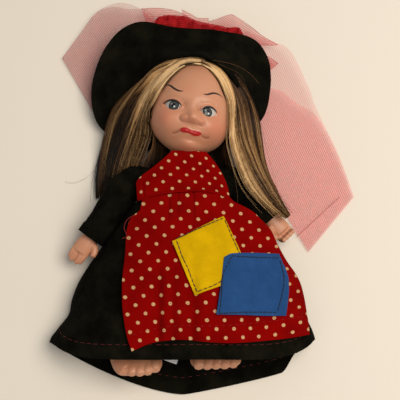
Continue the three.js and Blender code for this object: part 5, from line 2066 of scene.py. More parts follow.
@dataclass
class Hat:
    """Black felt hat with a wide brim, a soft crown behind it and a net ribbon."""

    head: Head
    mouth_width: float = 57.0
    mouth_length: float = 63.0
    mouth: Point = (6.0, 59.5, 25.5)
    brim_cloth: float = 1.2
    brim_ease: float = 1.4
    sag: float = 5.0
    ripple: float = 0.5
    thread_lift: float = 0.12
    crown_tip: Point = (9.5, 113.0, 8.0)
    crown_dent: float = 0.05
    crease: Sequence[Point] = ((72.6, -21.4, 3.4), (100.8, 4.6, 4.0))
    bow_layers: int = 3
    brim_flat: Point = (125, 100)
    bow_flat: Point = (110, 36)
    folds_flat: Point = (100, 30)
    left_flat: Point = (100, 60)
    right_flat: Point = (170, 55)

    def __post_init__(self) -> None:
        """Works out the directions of the hat's slanted mouth."""
        tilt = self.head.tilt
        self.across = np.array([math.cos(tilt), -math.sin(tilt), 0.0])
        self.forward = unit(np.array([0.1, 0.745, 0.66]))
        self.behind = unit(np.cross(self.forward, self.across))
        self.edge = Path([
            (56, 80, 12.5), (53.9, 94.6, 18), (44.3, 104.3, 24.5), (24.5, 108, 28.5), (-1.8, 109.6, 29.5),
            (-31, 115, 26), (-49, 103.5, 19.5), (-60, 76, 12), (-55.5, 51.5, 8), (-32, 38, 4.5), (-2, 34, 3),
            (30, 39, 4.5), (51, 57, 8.5),
        ], closed=True)

    def mouth_point(self, angle: Array, grow: float) -> Array:
        """Gives points round the hat's mouth.

        Args:
            angle: Angles round it.
            grow: Distance outside it.

        Returns:
            Points in millimetres.
        """
        return (np.array(self.mouth)
                + self.across * ((self.mouth_width / 2 + grow) * np.cos(angle))[..., None]
                + self.forward * ((self.mouth_length / 2 + grow) * np.sin(angle))[..., None])

    def brim_point(self, share: Array, angle: Array) -> Array:
        """Gives points of the brim, from the mouth at 0 to its edge at 1.

        Args:
            share: Places from the mouth to the edge.
            angle: Angles round it.

        Returns:
            Points in millimetres.
        """
        inner = self.mouth_point(angle, self.brim_ease)
        point = mix(inner, self.edge.at(angle / (2 * np.pi)), share[..., None])
        sag = self.sag * np.sin(np.pi * share) * smooth(-0.4, 0.6, np.sin(angle))
        ripple = self.ripple * share * np.sin(7 * angle + 2.2 * share)
        ripple = ripple + self.ripple / 2 * np.sin(17 * angle) * share**2
        point[..., 2] = np.maximum(point[..., 2] - sag + ripple * smooth(4, 9, point[..., 2]), 1.6)
        return point

    def build(self, finishes: Finishes) -> None:
        """Makes and dresses the hat's pieces.

        Args:
            finishes: All the materials.
        """
        brim = self._brim()
        settle(brim, finishes.black_felt, Slot.BLACK_FELT, "head", ["hat_brim"])
        cloth(brim, self.brim_flat, "stretched", ["head_skin"])
        crown = self._crown()
        settle(crown, finishes.black_felt, Slot.BLACK_FELT, "head", ["hat_crown"])
        line = self._brim_stitches()
        settle(line, finishes.red_thread, Slot.NET, "head")
        self._ribbon(finishes)

    def _brim(self) -> Piece:
        """Cuts the brim.

        Returns:
            The piece.
        """
        def shape(u: Array, v: Array) -> Array:
            """Brim's upper side, which faces the face."""
            return self.brim_point(v, 2 * np.pi * u)

        return Bench.grid("brim_felt", shape, (200, 36), wrapped=True, wall=self.brim_cloth)

    def _brim_stitches(self) -> Piece:
        """Sews the thin red lines: one inside the brim's left edge and one across its seam.

        Returns:
            The piece.
        """
        rng = np.random.default_rng(SEED)
        pieces = []
        for turn, share in ((np.linspace(0.36, 0.66, 120), np.full(120, 0.82)),
                            (np.full(60, 0.535), np.linspace(0.12, 0.95, 60))):
            turn = 2 * np.pi * turn
            line = self.brim_point(share, turn)
            step = 0.02
            out = upward(line, self.brim_point(share, turn + step), self.brim_point(share + step, turn))
            pieces.append(sew("brim_stitches", line + self.thread_lift * out, out, BRIM_STITCH, rng))
        return Bench.join("brim_stitches", pieces)

    def _crown(self) -> Piece:
        """Makes the soft cone that lies back along the table.

        Returns:
            The piece.
        """
        def shape(u: Array, v: Array) -> Array:
            """Crown's outer side."""
            angle = -2 * np.pi * u
            share = v * 0.985
            start = self.mouth_point(angle, 1.2) + self.behind * (self.brim_cloth + GAP)
            centre = mix(np.array(self.mouth), np.array(self.crown_tip), (share**0.9)[..., None])
            centre = centre - np.array([0, 0, 4.0]) * np.sin(np.pi * share)[..., None]
            up = unit(mix(self.forward, np.array([0, 0, 1.0]), smooth(0, 0.8, share)[..., None]))
            close = 1 - smooth(0.93, 1.0, v)
            wide = ((self.mouth_width / 2 + 2) * (1 - share) ** 0.8 + 4.2) * np.sqrt(close)
            long = ((self.mouth_length / 2 - 1) * (1 - share) + 3.7) * np.sqrt(close)
            dent = 1 + self.crown_dent * np.sin(3 * angle + 9 * share) * smooth(0.1, 0.4, share)
            cone = centre + self.across * (wide * dent * np.cos(angle))[..., None]
            cone = cone + up * (long * dent * np.sin(angle))[..., None]
            point = mix(start, cone, smooth(0, 0.35, share)[..., None])
            point[..., 2] = np.maximum(point[..., 2], 0.9)
            return point

        return Bench.grid("crown_felt", shape, (96, 48), wrapped=True, wall=self.brim_cloth)

    def _ribbon(self, finishes: Finishes) -> None:
        """Ties the net ribbon: gathered bow, folded loops, tie end and two tails.

        Args:
            finishes: All the materials.
        """
        bow = self._bow()
        settle(bow, finishes.dense_net, Slot.NET, "head", ["hat_bow"])
        cloth(bow, self.bow_flat, "gathered", ["crown_felt"], walled=False)
        folds = Bench.join("ribbon_folds", [layer.build() for layer in self._folds()])
        settle(folds, finishes.folded_net, Slot.NET, "head")
        cloth(folds, self.folds_flat, "folded", ["crown_felt"], walled=False)
        left = Bench.join("tail_left_net", [layer.build() for layer in self._left_tail()])
        settle(left, finishes.shaded_left_net, Slot.NET, "head", ["hat_tail_left"])
        cloth(left, self.left_flat, "folded", ["table"], walled=False)
        right = Bench.join("tail_right_net", [layer.build() for layer in self._right_tail()])
        crease = np.linspace(*self.crease, 24)
        settle(tube("tail_right_crease", crease, 0.14), finishes.net_thread, Slot.NET, "head")
        settle(right, finishes.right_net, Slot.NET, "head", ["hat_tail_right"])
        cloth(right, self.right_flat, "laid", ["table"], walled=False)

    @staticmethod
    def _folds() -> Sequence[NetLayer]:
        """Gives the upright folds above the bow and the tie end at its right.

        Returns:
            The layers.
        """
        across = (1.0, 0.0)
        return (
            NetLayer("fold_top", [
                (-29, 132.3, 9), (-19.4, 132.6, 9), (-9.1, 131.3, 9.5), (-2.3, 128.9, 10), (2, 126.8, 10),
            ], [
                (-25, 121, 7), (-20, 119, 7), (-9, 119, 7), (-2, 119, 7.5), (3, 119, 8),
            ], 0.4, (14, 40), across),
            NetLayer("fold_thin", [
                (-1.9, 131.2, 10.5), (4.6, 127.6, 10.5), (8.6, 125.2, 10.5), (16.1, 124.7, 10.5),
            ], [
                (-1, 126.5, 10), (5, 123, 10), (10, 120, 10), (16.1, 119.5, 10),
            ], 0.2, (8, 24), across),
            NetLayer("fold_right", [
                (16.2, 122.3, 11), (22.2, 124.1, 11), (31.4, 127, 11), (35.1, 125.4, 10.5),
                (45.3, 118.6, 9.5), (52.1, 113.2, 8.5), (62.5, 107.4, 7.2),
            ], [
                (14.4, 114, 7), (22, 112, 7), (31, 110, 7), (37, 109, 6.5), (43, 108, 6), (51, 107.4, 6),
                (60.5, 107, 6.4),
            ], 0.5, (14, 50), (0.84, -0.54)),
            NetLayer("tie_end", [
                (50, 103, 4.8), (55.2, 100.2, 5), (58.9, 98, 4.9), (62.6, 95.3, 4.4),
            ], [
                (50, 95, 4.4), (53, 93.5, 4.4), (55.5, 92.2, 4.4), (57.8, 91, 4.2),
            ], 0.2, (8, 12), (0.8, -0.6)),
        )

    @staticmethod
    def _left_tail() -> Sequence[NetLayer]:
        """Gives the two layers of the left loop.

        Returns:
            The layers.
        """
        grain = (0.594, 0.804)
        inner = [
            (-20, 110, 5), (-27, 101, 4.2), (-33, 92, 3.6), (-42, 80, 3), (-50.6, 72, 2.2), (-56, 67, 2),
            (-61, 63.2, 1.6),
        ]
        return (
            NetLayer("left_below", [
                (-20, 124, 6.5), (-29.8, 132.2, 8), (-37, 135.3, 8), (-45.4, 136.6, 7), (-58.3, 131.7, 5.5),
                (-69.1, 117.9, 4), (-81.8, 99.9, 1.8),
            ], inner, 1.0, (30, 60), grain),
            NetLayer("left_above", [
                (-20, 127, 7.5), (-26, 131.2, 9), (-38.7, 131.5, 8.8), (-46, 133.3, 8.3),
                (-58.3, 131.2, 6.5), (-69.1, 117.6, 5), (-81.8, 99.6, 2.6),
            ], [(x, y, z + 1.0) for x, y, z in inner], 0.8, (30, 60), grain),
        )

    @staticmethod
    def _right_tail() -> Sequence[NetLayer]:
        """Gives the long right tail and the layer turned back over it.

        Returns:
            The layers.
        """
        grain = (0.39, -0.92)
        return (
            NetLayer("right_below", [
                (40, 118, 6), (52, 112.5, 7.6), (60, 108.5, 7.6), (66.8, 105.9, 7), (71.4, 101, 6.5),
                (74.7, 94.8, 6), (79.3, 84.3, 5.5), (83.2, 75.3, 5), (86.4, 65.6, 4.6), (93.4, 49.6, 4),
                (102.3, 29.3, 3), (110.3, 4.9, 1.8),
            ], [
                (40, 108, 5), (43.8, 104, 4), (45, 96, 3.5), (45.5, 87.7, 3), (45.5, 74, 2.5),
                (45.5, 60.2, 2.4), (46, 48, 2.4), (47.5, 36.3, 2.4), (51, 23, 2.2), (57, 9.5, 2),
                (68, -11.6, 1.8), (79.7, -31.7, 1.4),
            ], 1.2, (30, 110), grain),
            NetLayer("right_above", [
                (64.3, 75.3, 6.4), (75, 66, 6.2), (84.5, 60, 5.8), (92.4, 49.2, 5.2), (101.4, 29, 4.2),
                (109.4, 4.6, 2.8),
            ], [
                (46, 81, 4.6), (46, 60, 3.8), (48, 36, 3.6), (57, 10, 3.2), (68, -11, 2.8), (80, -30.6, 2.4),
            ], 1.0, (30, 80), grain),
        )

    def _bow(self) -> Piece:
        """Gathers the bow's band from crumpled layers.

        Returns:
            The piece.
        """
        rng = np.random.default_rng(SEED + 1)
        top = Path([(-20.8, 119.5, 0), (-18.3, 125.6, 0), (-13.2, 127.9, 0), (-5.7, 127.9, 0), (1.8, 127, 0),
                    (7.3, 124.5, 0), (15.4, 122.3, 0), (24.9, 120.4, 0), (29, 119.2, 0), (35.8, 119.1, 0),
                    (39.2, 113.5, 0)])
        layers = []
        for k in range(self.bow_layers):
            phase = rng.uniform(0, 6.28, 4)

            def shape(u: Array, v: Array) -> Array:
                """One crumpled layer."""
                rim = top.at(v)
                x, high = rim[..., 0], rim[..., 1]
                crease = 0.9 * np.sin(0.8 * x + phase[1]) + 0.5 * np.sin(1.9 * x + phase[2] + 3 * u)
                y = high - 1.4 * k * np.sin(np.pi * v) - u * (high - 108)
                y = y + 0.3 * np.sin(0.7 * x + phase[0]) * u
                z = 8.2 + 1.0 * k + 1.5 * np.sin(np.pi * u) + crease * (0.5 + 0.4 * np.sin(7 * u + phase[3]))
                return columns(x, y, np.maximum(z - 5 * u, 1.6))

            layer = Bench.grid(f"bow_layer_{k}", shape, (20, 80), lambda u, v: columns(18 * u, 66 * v))
            Bench.note(layer, "edge", np.full(len(layer.data.vertices), 5.0))
            layers.append(layer)
        return Bench.join("ribbon_bow", layers)


@dataclass
class Dress:
    """Black felt dress: bodice, sleeves and a hemmed skirt."""

    form: SkirtForm
    hem_depth: float = 8.4
    sleeve_root: float = 10.1
    cuff_width: float = 18.0
    cuff_depth: float = 16.0
    fall: float = 95.0
    front_share: float = 0.62
    crease: Sequence[Point] = ((-61, -58), (-69, -69), (-79, -82))
    cap: float = 0.1
    cap_reach: float = 6.5
    cap_shrink: float = 0.09
    bodice_flat: Point = (136, 32)
    skirt_flat: Point = (400, 112)
    sleeve_flat: Point = (64, 58)

    ARMS = {
        -1: ((-30.5, SHOULDER_Y, 21), (-38, 4.5, 20), (-47.5, -9.5, 18), (-58.5, -24.5, 16)),
        1: ((30.5, SHOULDER_Y, 21), (38.5, 5.5, 20), (47, -3.5, 18), (55, -12, 16)),
    }

    def build(self, finishes: Finishes) -> None:
        """Makes and dresses the dress's pieces.

        Args:
            finishes: All the materials.
        """
        bodice = self._bodice()
        settle(bodice, finishes.black_felt, Slot.BLACK_FELT, "torso", ["dress_bodice"])
        cloth(bodice, self.bodice_flat, "stretched", ["torso"])
        skirt = self._skirt()
        settle(skirt, finishes.black_felt, Slot.BLACK_FELT, SKIRT_BEND, ["dress_skirt"])
        cloth(skirt, self.skirt_flat, "hung", ["bodice_felt"])
        stitches = self._hem_stitches()
        settle(stitches, finishes.red_thread, Slot.COTTON, SKIRT_BEND)
        for side, word in ((-1, "left"), (1, "right")):
            sleeve = self._sleeve(side, f"sleeve_{word}_felt")
            settle(sleeve, finishes.black_felt, Slot.BLACK_FELT, f"arm_{word}", [f"sleeve_{word}"])
            cloth(sleeve, self.sleeve_flat, "stretched", [f"arm_{word}_vinyl"])

    def _bodice(self) -> Piece:
        """Fits the bodice over the chest, with a small collar.

        Returns:
            The piece.
        """
        rows = [(TORSO_TOP + 1.7, 9.9, 9.9), (TORSO_TOP + 0.8, 11.2, 11.0)]
        for y in (TORSO_TOP - 0.6, TORSO_TOP - 2, TORSO_TOP - 4.5, 14, SHOULDER_Y, 5, 0.5, WAIST_Y + 0.2):
            wide, deep = Torso.section(np.array(y))
            rows.append((y, float(wide) + GAP + CLOTH, float(deep) + GAP + CLOTH))
        profile = Path(rows)

        def shape(u: Array, v: Array) -> Array:
            """Bodice's outer side, from the collar down to the waist."""
            angle = 2 * np.pi * u
            row = profile.at(v)
            wrinkle = 0.3 * np.sin(6 * angle + 8 * v) * smooth(0.4, 0.7, v)
            return columns((row[..., 1] + wrinkle) * np.cos(angle), row[..., 0],
                           BODY_Z + (row[..., 2] + wrinkle) * np.sin(angle))

        return Bench.grid("bodice_felt", shape, (120, 40), wrapped=True, wall=CLOTH)

    def _angle(self, u: Array) -> Array:
        """Spreads the skirt's columns, closer together in front."""
        front = self.front_share
        return np.where(u < front, np.pi * u / front, np.pi + np.pi * (u - front) / (1 - front))

    def _skirt(self) -> Piece:
        """Hangs the skirt, with its hem turned up.

        Returns:
            The piece.
        """
        def shape(u: Array, v: Array) -> Array:
            """Skirt's outer side."""
            point = self.form.point(self._angle(u), v)
            crease, _ = near_line(point[..., 0], point[..., 1], self.crease)
            point[..., 2] -= 0.9 * ridge(crease, 1.3) * smooth(2, 8, point[..., 2])
            over_hem = (1 - v) * self.fall
            seam = 0.22 * ridge(over_hem - self.hem_depth, 0.8)
            swell = 0.25 * smooth(self.hem_depth, self.hem_depth - 3, over_hem)
            ahead = np.sin(self._angle(u)) > 0.05
            point[..., 2] = np.maximum(point[..., 2] + np.where(ahead, swell - seam, 0), 0.0)
            return point

        return Bench.grid("skirt_felt", shape, (260, 80), wrapped=True, wall=CLOTH)

    def _hem_stitches(self) -> Piece:
        """Sews the red running stitch above the hem, in front and behind.

        Returns:
            The piece.
        """
        rng = np.random.default_rng(SEED + 2)
        pieces = []
        for low, high, inset in ((0.03, 0.97, 0.0), (1.04, 1.96, CLOTH)):
            angle = np.linspace(low, high, 260) * np.pi
            share = np.full(260, 1 - self.hem_depth / self.fall)
            line = self.form.point(angle, share, inset)
            step = 0.01
            out = upward(line, self.form.point(angle + step, share, inset),
                         self.form.point(angle, share + step, inset))
            pieces.append(sew("hem_stitches", line, out, HEM_STITCH, rng))
        return Bench.join("skirt_hem_stitches", pieces)

    def _sleeve(self, side: int, name: str) -> Piece:
        """Sews one sleeve, creased at the elbow and open at the cuff.

        Args:
            side: -1 for the left one, 1 for the right one.
            name: The piece's name.

        Returns:
            The piece.
        """
        wide, _ = Torso.section(np.array(WAIST_Y))
        path = Path([(side * (float(wide) + 2 * GAP + CLOTH), SHOULDER_Y, BODY_Z + 1), *self.ARMS[side]])
        sizes = Path([
            (self.sleeve_root, self.sleeve_root, 0), (self.sleeve_root, self.sleeve_root - 0.2, 0),
            (10.6, 10.0, 0), (9.6, 8.8, 0), (self.cuff_width / 2, self.cuff_depth / 2, 0)])

        def shape(u: Array, v: Array) -> Array:
            """Sleeve's outer side."""
            angle = -2 * np.pi * u
            cap, v = np.clip(v / self.cap, 0, 1), np.clip((v - self.cap) / (1 - self.cap), 0, 1)
            along = path.along(v)
            along = np.where((v < 0.01)[:, None], np.array([float(side), 0, 0]), along)
            size = sizes.at(v)
            crease = 0.5 * np.sin(26 * v + 2 * np.sin(angle + 0.7)) * np.sin(np.pi * v) ** 2
            crease = crease + 0.35 * np.sin(3 * angle + 5 * v) * smooth(0.1, 0.5, v)
            hem = 0.35 * smooth(0.90, 0.93, v) - 0.25 * ridge(v - 0.905, 0.012)
            point = around(path.at(v), along, size + (crease + hem)[:, None], angle)
            point[:, 0] = side * np.maximum(side * point[:, 0], side * path.points[0][0])
            inward = (1 - cap)[:, None] * np.array([1.0, 0, 0])
            hub = np.array([0, SHOULDER_Y, BODY_Z + 1])
            shrink = (1 - self.cap_shrink * (1 - cap))[:, None]
            return hub + (point - hub) * np.where(inward > 0, 1, shrink) - side * self.cap_reach * inward

        return Bench.grid(name, shape, (72, 76), wrapped=True, wall=CLOTH)


@dataclass
class Outline:
    """Four edges of a piece of cloth, seen from above."""

    left: Path
    right: Path
    top: Optional[Path] = None
    bottom: Optional[Path] = None
    bend: float = 3.0

    def seen(self, u: Array, v: Array) -> Tuple[Array, Array]:
        """Gives places between the edges.

        Args:
            u: From 0 at the left edge to 1 at the right one.
            v: From 0 at the bottom edge to 1 at the top one.

        Returns:
            Both coordinates of the places seen from above.
        """
        place = mix(self.left.at(1 - v), self.right.at(1 - v), u[..., None])
        for path, end, weight in ((self.top, np.array(0.0), v), (self.bottom, np.array(1.0), 1 - v)):
            if path is not None:
                straight = mix(self.left.at(end), self.right.at(end), u[..., None])
                place = place + (path.at(u) - straight) * (weight**self.bend)[..., None]
        return place[..., 0], place[..., 1]


@dataclass(frozen=True)
class PrintRows:
    """Where the printed rows of dots run on the cloth, counted in rows, with their lean and bend."""

    start: float
    across: float
    along: float
    twist: float
    curve: float
    swing: float

    def at(self, x: Array, y: Array) -> Array:
        """Counts rows at places seen from above."""
        bend = self.twist * x * y + self.curve * x**2 + self.swing * x**3
        return self.start + self.across * x + self.along * y + bend


def printed(edges: Outline, rows: Sequence[PrintRows]) -> Shape:
    """Gives a cloth's own coordinates, from which its dots are printed.

    Args:
        edges: The cloth's edges.
        rows: Its rows across and along.

    Returns:
        A function of u and v.
    """
    def flat(u: Array, v: Array) -> Array:
        """Cloth's own coordinates in millimetres."""
        place = edges.seen(u, v)
        return DOT_PITCH * columns(*[row.at(*place) for row in rows])

    return flat


@dataclass
class Patch:
    """One felt patch: its cut edges and the lines that it is sewn along."""

    word: str
    edges: Outline
    seams: Sequence[Sequence[Point]]
    lift: float
    size: Point
    cloth: float = 0.9

    def rise(self, x: Array, y: Array) -> Array:
        """Gives the soft surface, drawn in along its seams.

        Args:
            x: First coordinate of the places.
            y: Second coordinate of the places.

        Returns:
            Heights in millimetres.
        """
        away = np.min([near_line(x, y, seam)[0] for seam in self.seams], axis=0)
        soft = 0.25 * smooth(0.4, 3.5, away) + 0.1 * np.sin(0.4 * x + 0.25 * y)
        return soft - 0.15 * ridge(away, 0.7)


@dataclass
class Apron:
    """Dotted cotton apron with two felt patches, stitched on."""

    form: SkirtForm = field(default_factory=lambda: SkirtForm(crown=0.45, slope=Path([
        (0, 0.08, 0.12), (0.035, 0.13, 0.32), (0.08, 0.19, 0.42), (0.14, 0.25, 0.49), (0.2, 0.31, 0.55),
        (0.3, 0.43, 0.615), (0.36, 0.5, 0.655), (0.45, 0.6, 0.722), (0.56, 0.7, 0.805), (0.68, 0.765, 0.855),
        (0.77, 0.79, 0.885), (0.88, 0.905, 0.95), (0.97, 0.99, 0.99), (1, 1, 1)])))
    lift: float = 0.72
    band: float = 1.7
    strip: float = 4.0
    hem: float = 0.08
    strap: Point = (12.6, 15.6)
    strap_cloth: float = 0.6
    skirt_flat: Point = (118, 96)
    bib_flat: Point = (66, 32)
    skirt_rows: Sequence[PrintRows] = (
        PrintRows(2.27, 0.0942, 0.0089, -8.4e-5, 4.9e-5, -6.5e-7),
        PrintRows(4.712, 0.0032, 0.098, 5.3e-5, 5.5e-5, -2.09e-6))
    bib_rows: Sequence[PrintRows] = (
        PrintRows(0.118, 0.1013, 0.0141, 1.03e-4, 3.49e-4, 1.56e-5),
        PrintRows(-0.753, -0.0011, 0.1162, 5.6e-4, 3.6e-4, 3.3e-6))
    pleats: Sequence[Point] = ((-8.6, 1.2, 1.0), (-3.2, 0.9, 0.6), (6.3, 0.9, 0.9), (16.5, 1.3, 0.4))
    folds: Sequence[Point] = ((-14.0, 3.2, 2.2), (-5.5, 3.2, 1.2), (6.0, 3.6, 2.2), (22.0, 6.0, 0.8))

    def build(self, finishes: Finishes) -> None:
        """Makes and dresses the apron's pieces.

        Args:
            finishes: All the materials.
        """
        skirt = self._skirt()
        settle(skirt, finishes.cotton, Slot.COTTON, SKIRT_BEND, ["apron_skirt"])
        cloth(skirt, self.skirt_flat, "hung", ["skirt_felt"])
        hem = self._hem_stitches()
        settle(hem, finishes.cotton_thread, Slot.COTTON, SKIRT_BEND)
        bib = self._bib()
        settle(bib, finishes.cotton, Slot.COTTON, "torso", ["apron_bib"])
        cloth(bib, self.bib_flat, "stretched", ["bodice_felt"])
        band = self._waistband()
        settle(band, finishes.cotton, Slot.COTTON, "torso", ["apron_waistband"])
        strap = self._strap()
        settle(strap, finishes.cotton, Slot.COTTON, "torso", ["apron_neck_strap"])
        thread = self._loose_thread()
        settle(thread, finishes.cotton_thread, Slot.COTTON, SKIRT_BEND)
        self._patches(finishes)

    @staticmethod
    def seam(x: Array) -> Array:
        """Gives the waist seam's height along the body, which arches over the middle."""
        return 0.1 - np.where(x < 9, 0.0036, 0.0095) * (x - 9) ** 2

    def _edges(self) -> Outline:
        """Gives the apron skirt's edges.

        Returns:
            The edges.
        """
        waist = np.linspace(-24.5, 28.5, 11)
        return Outline(
            Path([(-24.5, -4.3), (-25.2, -8), (-25.8, -11.2), (-28.2, -13), (-31.2, -16), (-33.2, -23.1),
                  (-33.7, -33), (-34.1, -46), (-34.5, -60), (-34, -74), (-32.3, -87), (-29.4, -96.4)]),
            Path([(28.5, -3.9), (31, -6), (35.8, -8.1), (42.6, -11.5), (47.6, -16), (53.2, -21.7),
                  (56.7, -29.1), (62, -38.5), (68.5, -50), (71.7, -62), (73.3, -73), (74.4, -85.7)]),
            Path(columns(waist, self.seam(waist) - GAP)),
            Path([(-29.4, -96.4), (-18.8, -91.8), (-8, -89.9), (2.7, -89.7), (13.4, -90.9), (24.2, -91.5),
                  (34.9, -91.1), (45.2, -90.2), (55.2, -89.2), (65, -87.7), (74.4, -85.7)]))

    def _fold(self, x: Array, y: Array) -> Array:
        """Gives the pleats below the waist and the long soft folds.

        Args:
            x: First coordinate of the places.
            y: Second coordinate of the places.

        Returns:
            Heights in millimetres.
        """
        short = smooth(-24, -9, y)
        long = 1 - smooth(-58, -36, y)
        rise = 2.0 * long
        for lines, weight in ((self.pleats, short), (self.folds, long)):
            for at, wide, deep in lines:
                rise = rise - deep * weight * ridge(x - at, wide)
        return rise

    def _turned(self, u: Array, v: Array) -> Array:
        """Gives the turned hem and the left edge's slight curl.

        Args:
            u: Places across, from 0 to 1.
            v: Places along, from 0 to 1.

        Returns:
            Heights in millimetres.
        """
        hem = 0.22 * (1 - smooth(self.hem - 0.005, self.hem + 0.005, v))
        drawn = 0.18 * ridge(v - self.hem, 0.006)
        return hem - drawn + 0.3 * (1 - smooth(0, 0.03, u)) * (1 - smooth(0.7, 1, v))

    def layer(self, name: str, edges: Outline, lift: Callable[[Array, Array, Array, Array], Array],
              cells: Cells, wall: float) -> Piece:
        """Lays cloth over the skirt's front.

        Args:
            name: The piece's name.
            edges: Its edges seen from above.
            lift: Gives its height over the skirt from u, v and the place seen from above.
            cells: Cells across and along.
            wall: The cloth's thickness.

        Returns:
            The cloth.
        """
        def shape(u: Array, v: Array) -> Array:
            """Cloth's top side."""
            x, y = edges.seen(u, v)
            return self.form.over(x, y, lift(u, v, x, y))[0]

        return Bench.grid(name, shape, cells, printed(edges, self.skirt_rows), wall=wall)

    def _top(self, x: Array, y: Array) -> Array:
        """Gives the height of the apron's top side over the skirt."""
        return self.lift + APRON_CLOTH + self._fold(x, y)

    def _skirt(self) -> Piece:
        """Cuts the apron's skirt."""
        return self.layer("apron_skirt_cotton", self._edges(),
                          lambda u, v, x, y: self._top(x, y) + self._turned(u, v), (160, 150), APRON_CLOTH)

    def _hem_stitches(self) -> Piece:
        """Sews the apron's hem.

        Returns:
            The piece.
        """
        u = np.linspace(0.02, 0.98, 200)
        v = np.full(200, self.hem)
        x, y = self._edges().seen(u, v)
        line, out = self.form.over(x, y, self._top(x, y) + self._turned(u, v) + 0.05)
        return sew("apron_hem_stitches", line, out, APRON_STITCH, np.random.default_rng(SEED + 3))

    def _loose_thread(self) -> Piece:
        """Leaves a loop of thread at the apron's left edge.

        Returns:
            The piece.
        """
        loop = Path([(-30.0, -13.8, 36.0), (-34.2, -17.0, 36.0), (-35.6, -22, 36.2), (-34, -27, 36.8),
                     (-37, -28.2, 35.6)])
        return tube("apron_loose_thread", loop.at(np.linspace(0, 1, 40)), 0.15)

    def _chest(self, x: Array, y: Array, lift: Any) -> Array:
        """Gives points in front of the chest.

        Args:
            x: First coordinate of the places.
            y: Second coordinate of the places.
            lift: Height over the surface.

        Returns:
            Points in millimetres.
        """
        _, deep = Torso.section(np.minimum(y, TORSO_TOP - 5))
        _, full = Torso.section(np.array(WAIST_Y))
        rise = self.form.height(x, np.full(np.shape(x), WAIST_Y)) - BODY_Z + lift
        return columns(x, y, BODY_Z + rise * (deep + 3) / (full + 3))

    def _bib(self) -> Piece:
        """Cuts the bib, with its left side turned in a strip.

        Returns:
            The piece.
        """
        waist = np.linspace(-28.0, 28.8, 9)
        edges = Outline(
            Path([(-6.7, 26.6), (-12.3, 21.2), (-19.1, 15.6), (-28.6, 7.6), (-28.5, 2.4), (-28, -4)]),
            Path([(14, 26), (18.4, 20.9), (22, 15.6), (25.6, 8.6), (27.6, 2.8), (28.8, -3.2)]),
            bottom=Path(columns(waist, self.seam(waist) + 0.5)))

        def shape(u: Array, v: Array) -> Array:
            """Bib's front."""
            x, y = edges.seen(u, v)
            inside = x - edges.left.at(1 - v)[..., 0]
            low = smooth(10, 7, y)
            turned = 0.8 * (1 - smooth(self.strip - 0.3, self.strip + 0.3, inside)) * low
            turned = turned - 0.5 * ridge(inside - self.strip - 0.4, 0.45) * low
            side = np.minimum(u, 1 - u)
            bound = 0.3 * (1 - smooth(0.03, 0.05, side)) * (1 - low)
            puff = 0.5 * np.sin(np.pi * v) + 0.25 * np.sin(7 * u + 3 * v) - 0.35 * ridge(v, 0.05)
            return self._chest(x, y, self.lift + APRON_CLOTH + 0.4 + turned + bound + puff)

        return Bench.grid("apron_bib_cotton", shape, (90, 60), printed(edges, self.bib_rows),
                          wall=APRON_CLOTH)

    def _waistband(self) -> Piece:
        """Wraps the narrow waistband, rolled along the seam in front.

        Returns:
            The piece.
        """
        wide, deep = Torso.section(np.array(WAIST_Y))
        reach = 2 * GAP + CLOTH + APRON_CLOTH

        def shape(u: Array, v: Array) -> Array:
            """Band's outer side."""
            angle = 2 * np.pi * u
            x = (float(wide) + reach + 0.8) * np.cos(angle)
            ahead = smooth(0, 0.3, np.sin(angle))
            roll = 0.7 * np.sin(np.pi * v)
            level = mix(WAIST_Y + GAP, self.seam(x) - 0.1, ahead) + (1 - v) * self.band
            lift = self.lift + APRON_CLOTH + 0.35 + roll
            front = self._chest(x, np.full(np.shape(x), WAIST_Y), lift)[..., 2]
            behind = BODY_Z + (float(deep) + reach + roll) * np.sin(angle)
            return columns(x, level, np.maximum(mix(behind, front, ahead), 0.3))

        return Bench.grid("apron_waistband_cotton", shape, (200, 8),
                          lambda u, v: columns(135 * u, 2.0 + 1.2 * v), wrapped=True, wall=APRON_CLOTH)

    def _strap(self) -> Piece:
        """Loops the strap round the neck, under the hair.

        Returns:
            The piece.
        """
        def shape(u: Array, v: Array) -> Array:
            """Strap's outer side."""
            angle = 2 * np.pi * u
            radius = mix(*self.strap, v)
            y = mix(TORSO_TOP + 1.9, TORSO_TOP + 0.1, v) + 0.5
            return columns(radius * np.cos(angle), y + 0 * angle, BODY_Z + 0.88 * radius * np.sin(angle))

        return Bench.grid("apron_strap_cotton", shape, (90, 6), lambda u, v: columns(88 * u, 4 * v),
                          wrapped=True, wall=self.strap_cloth)

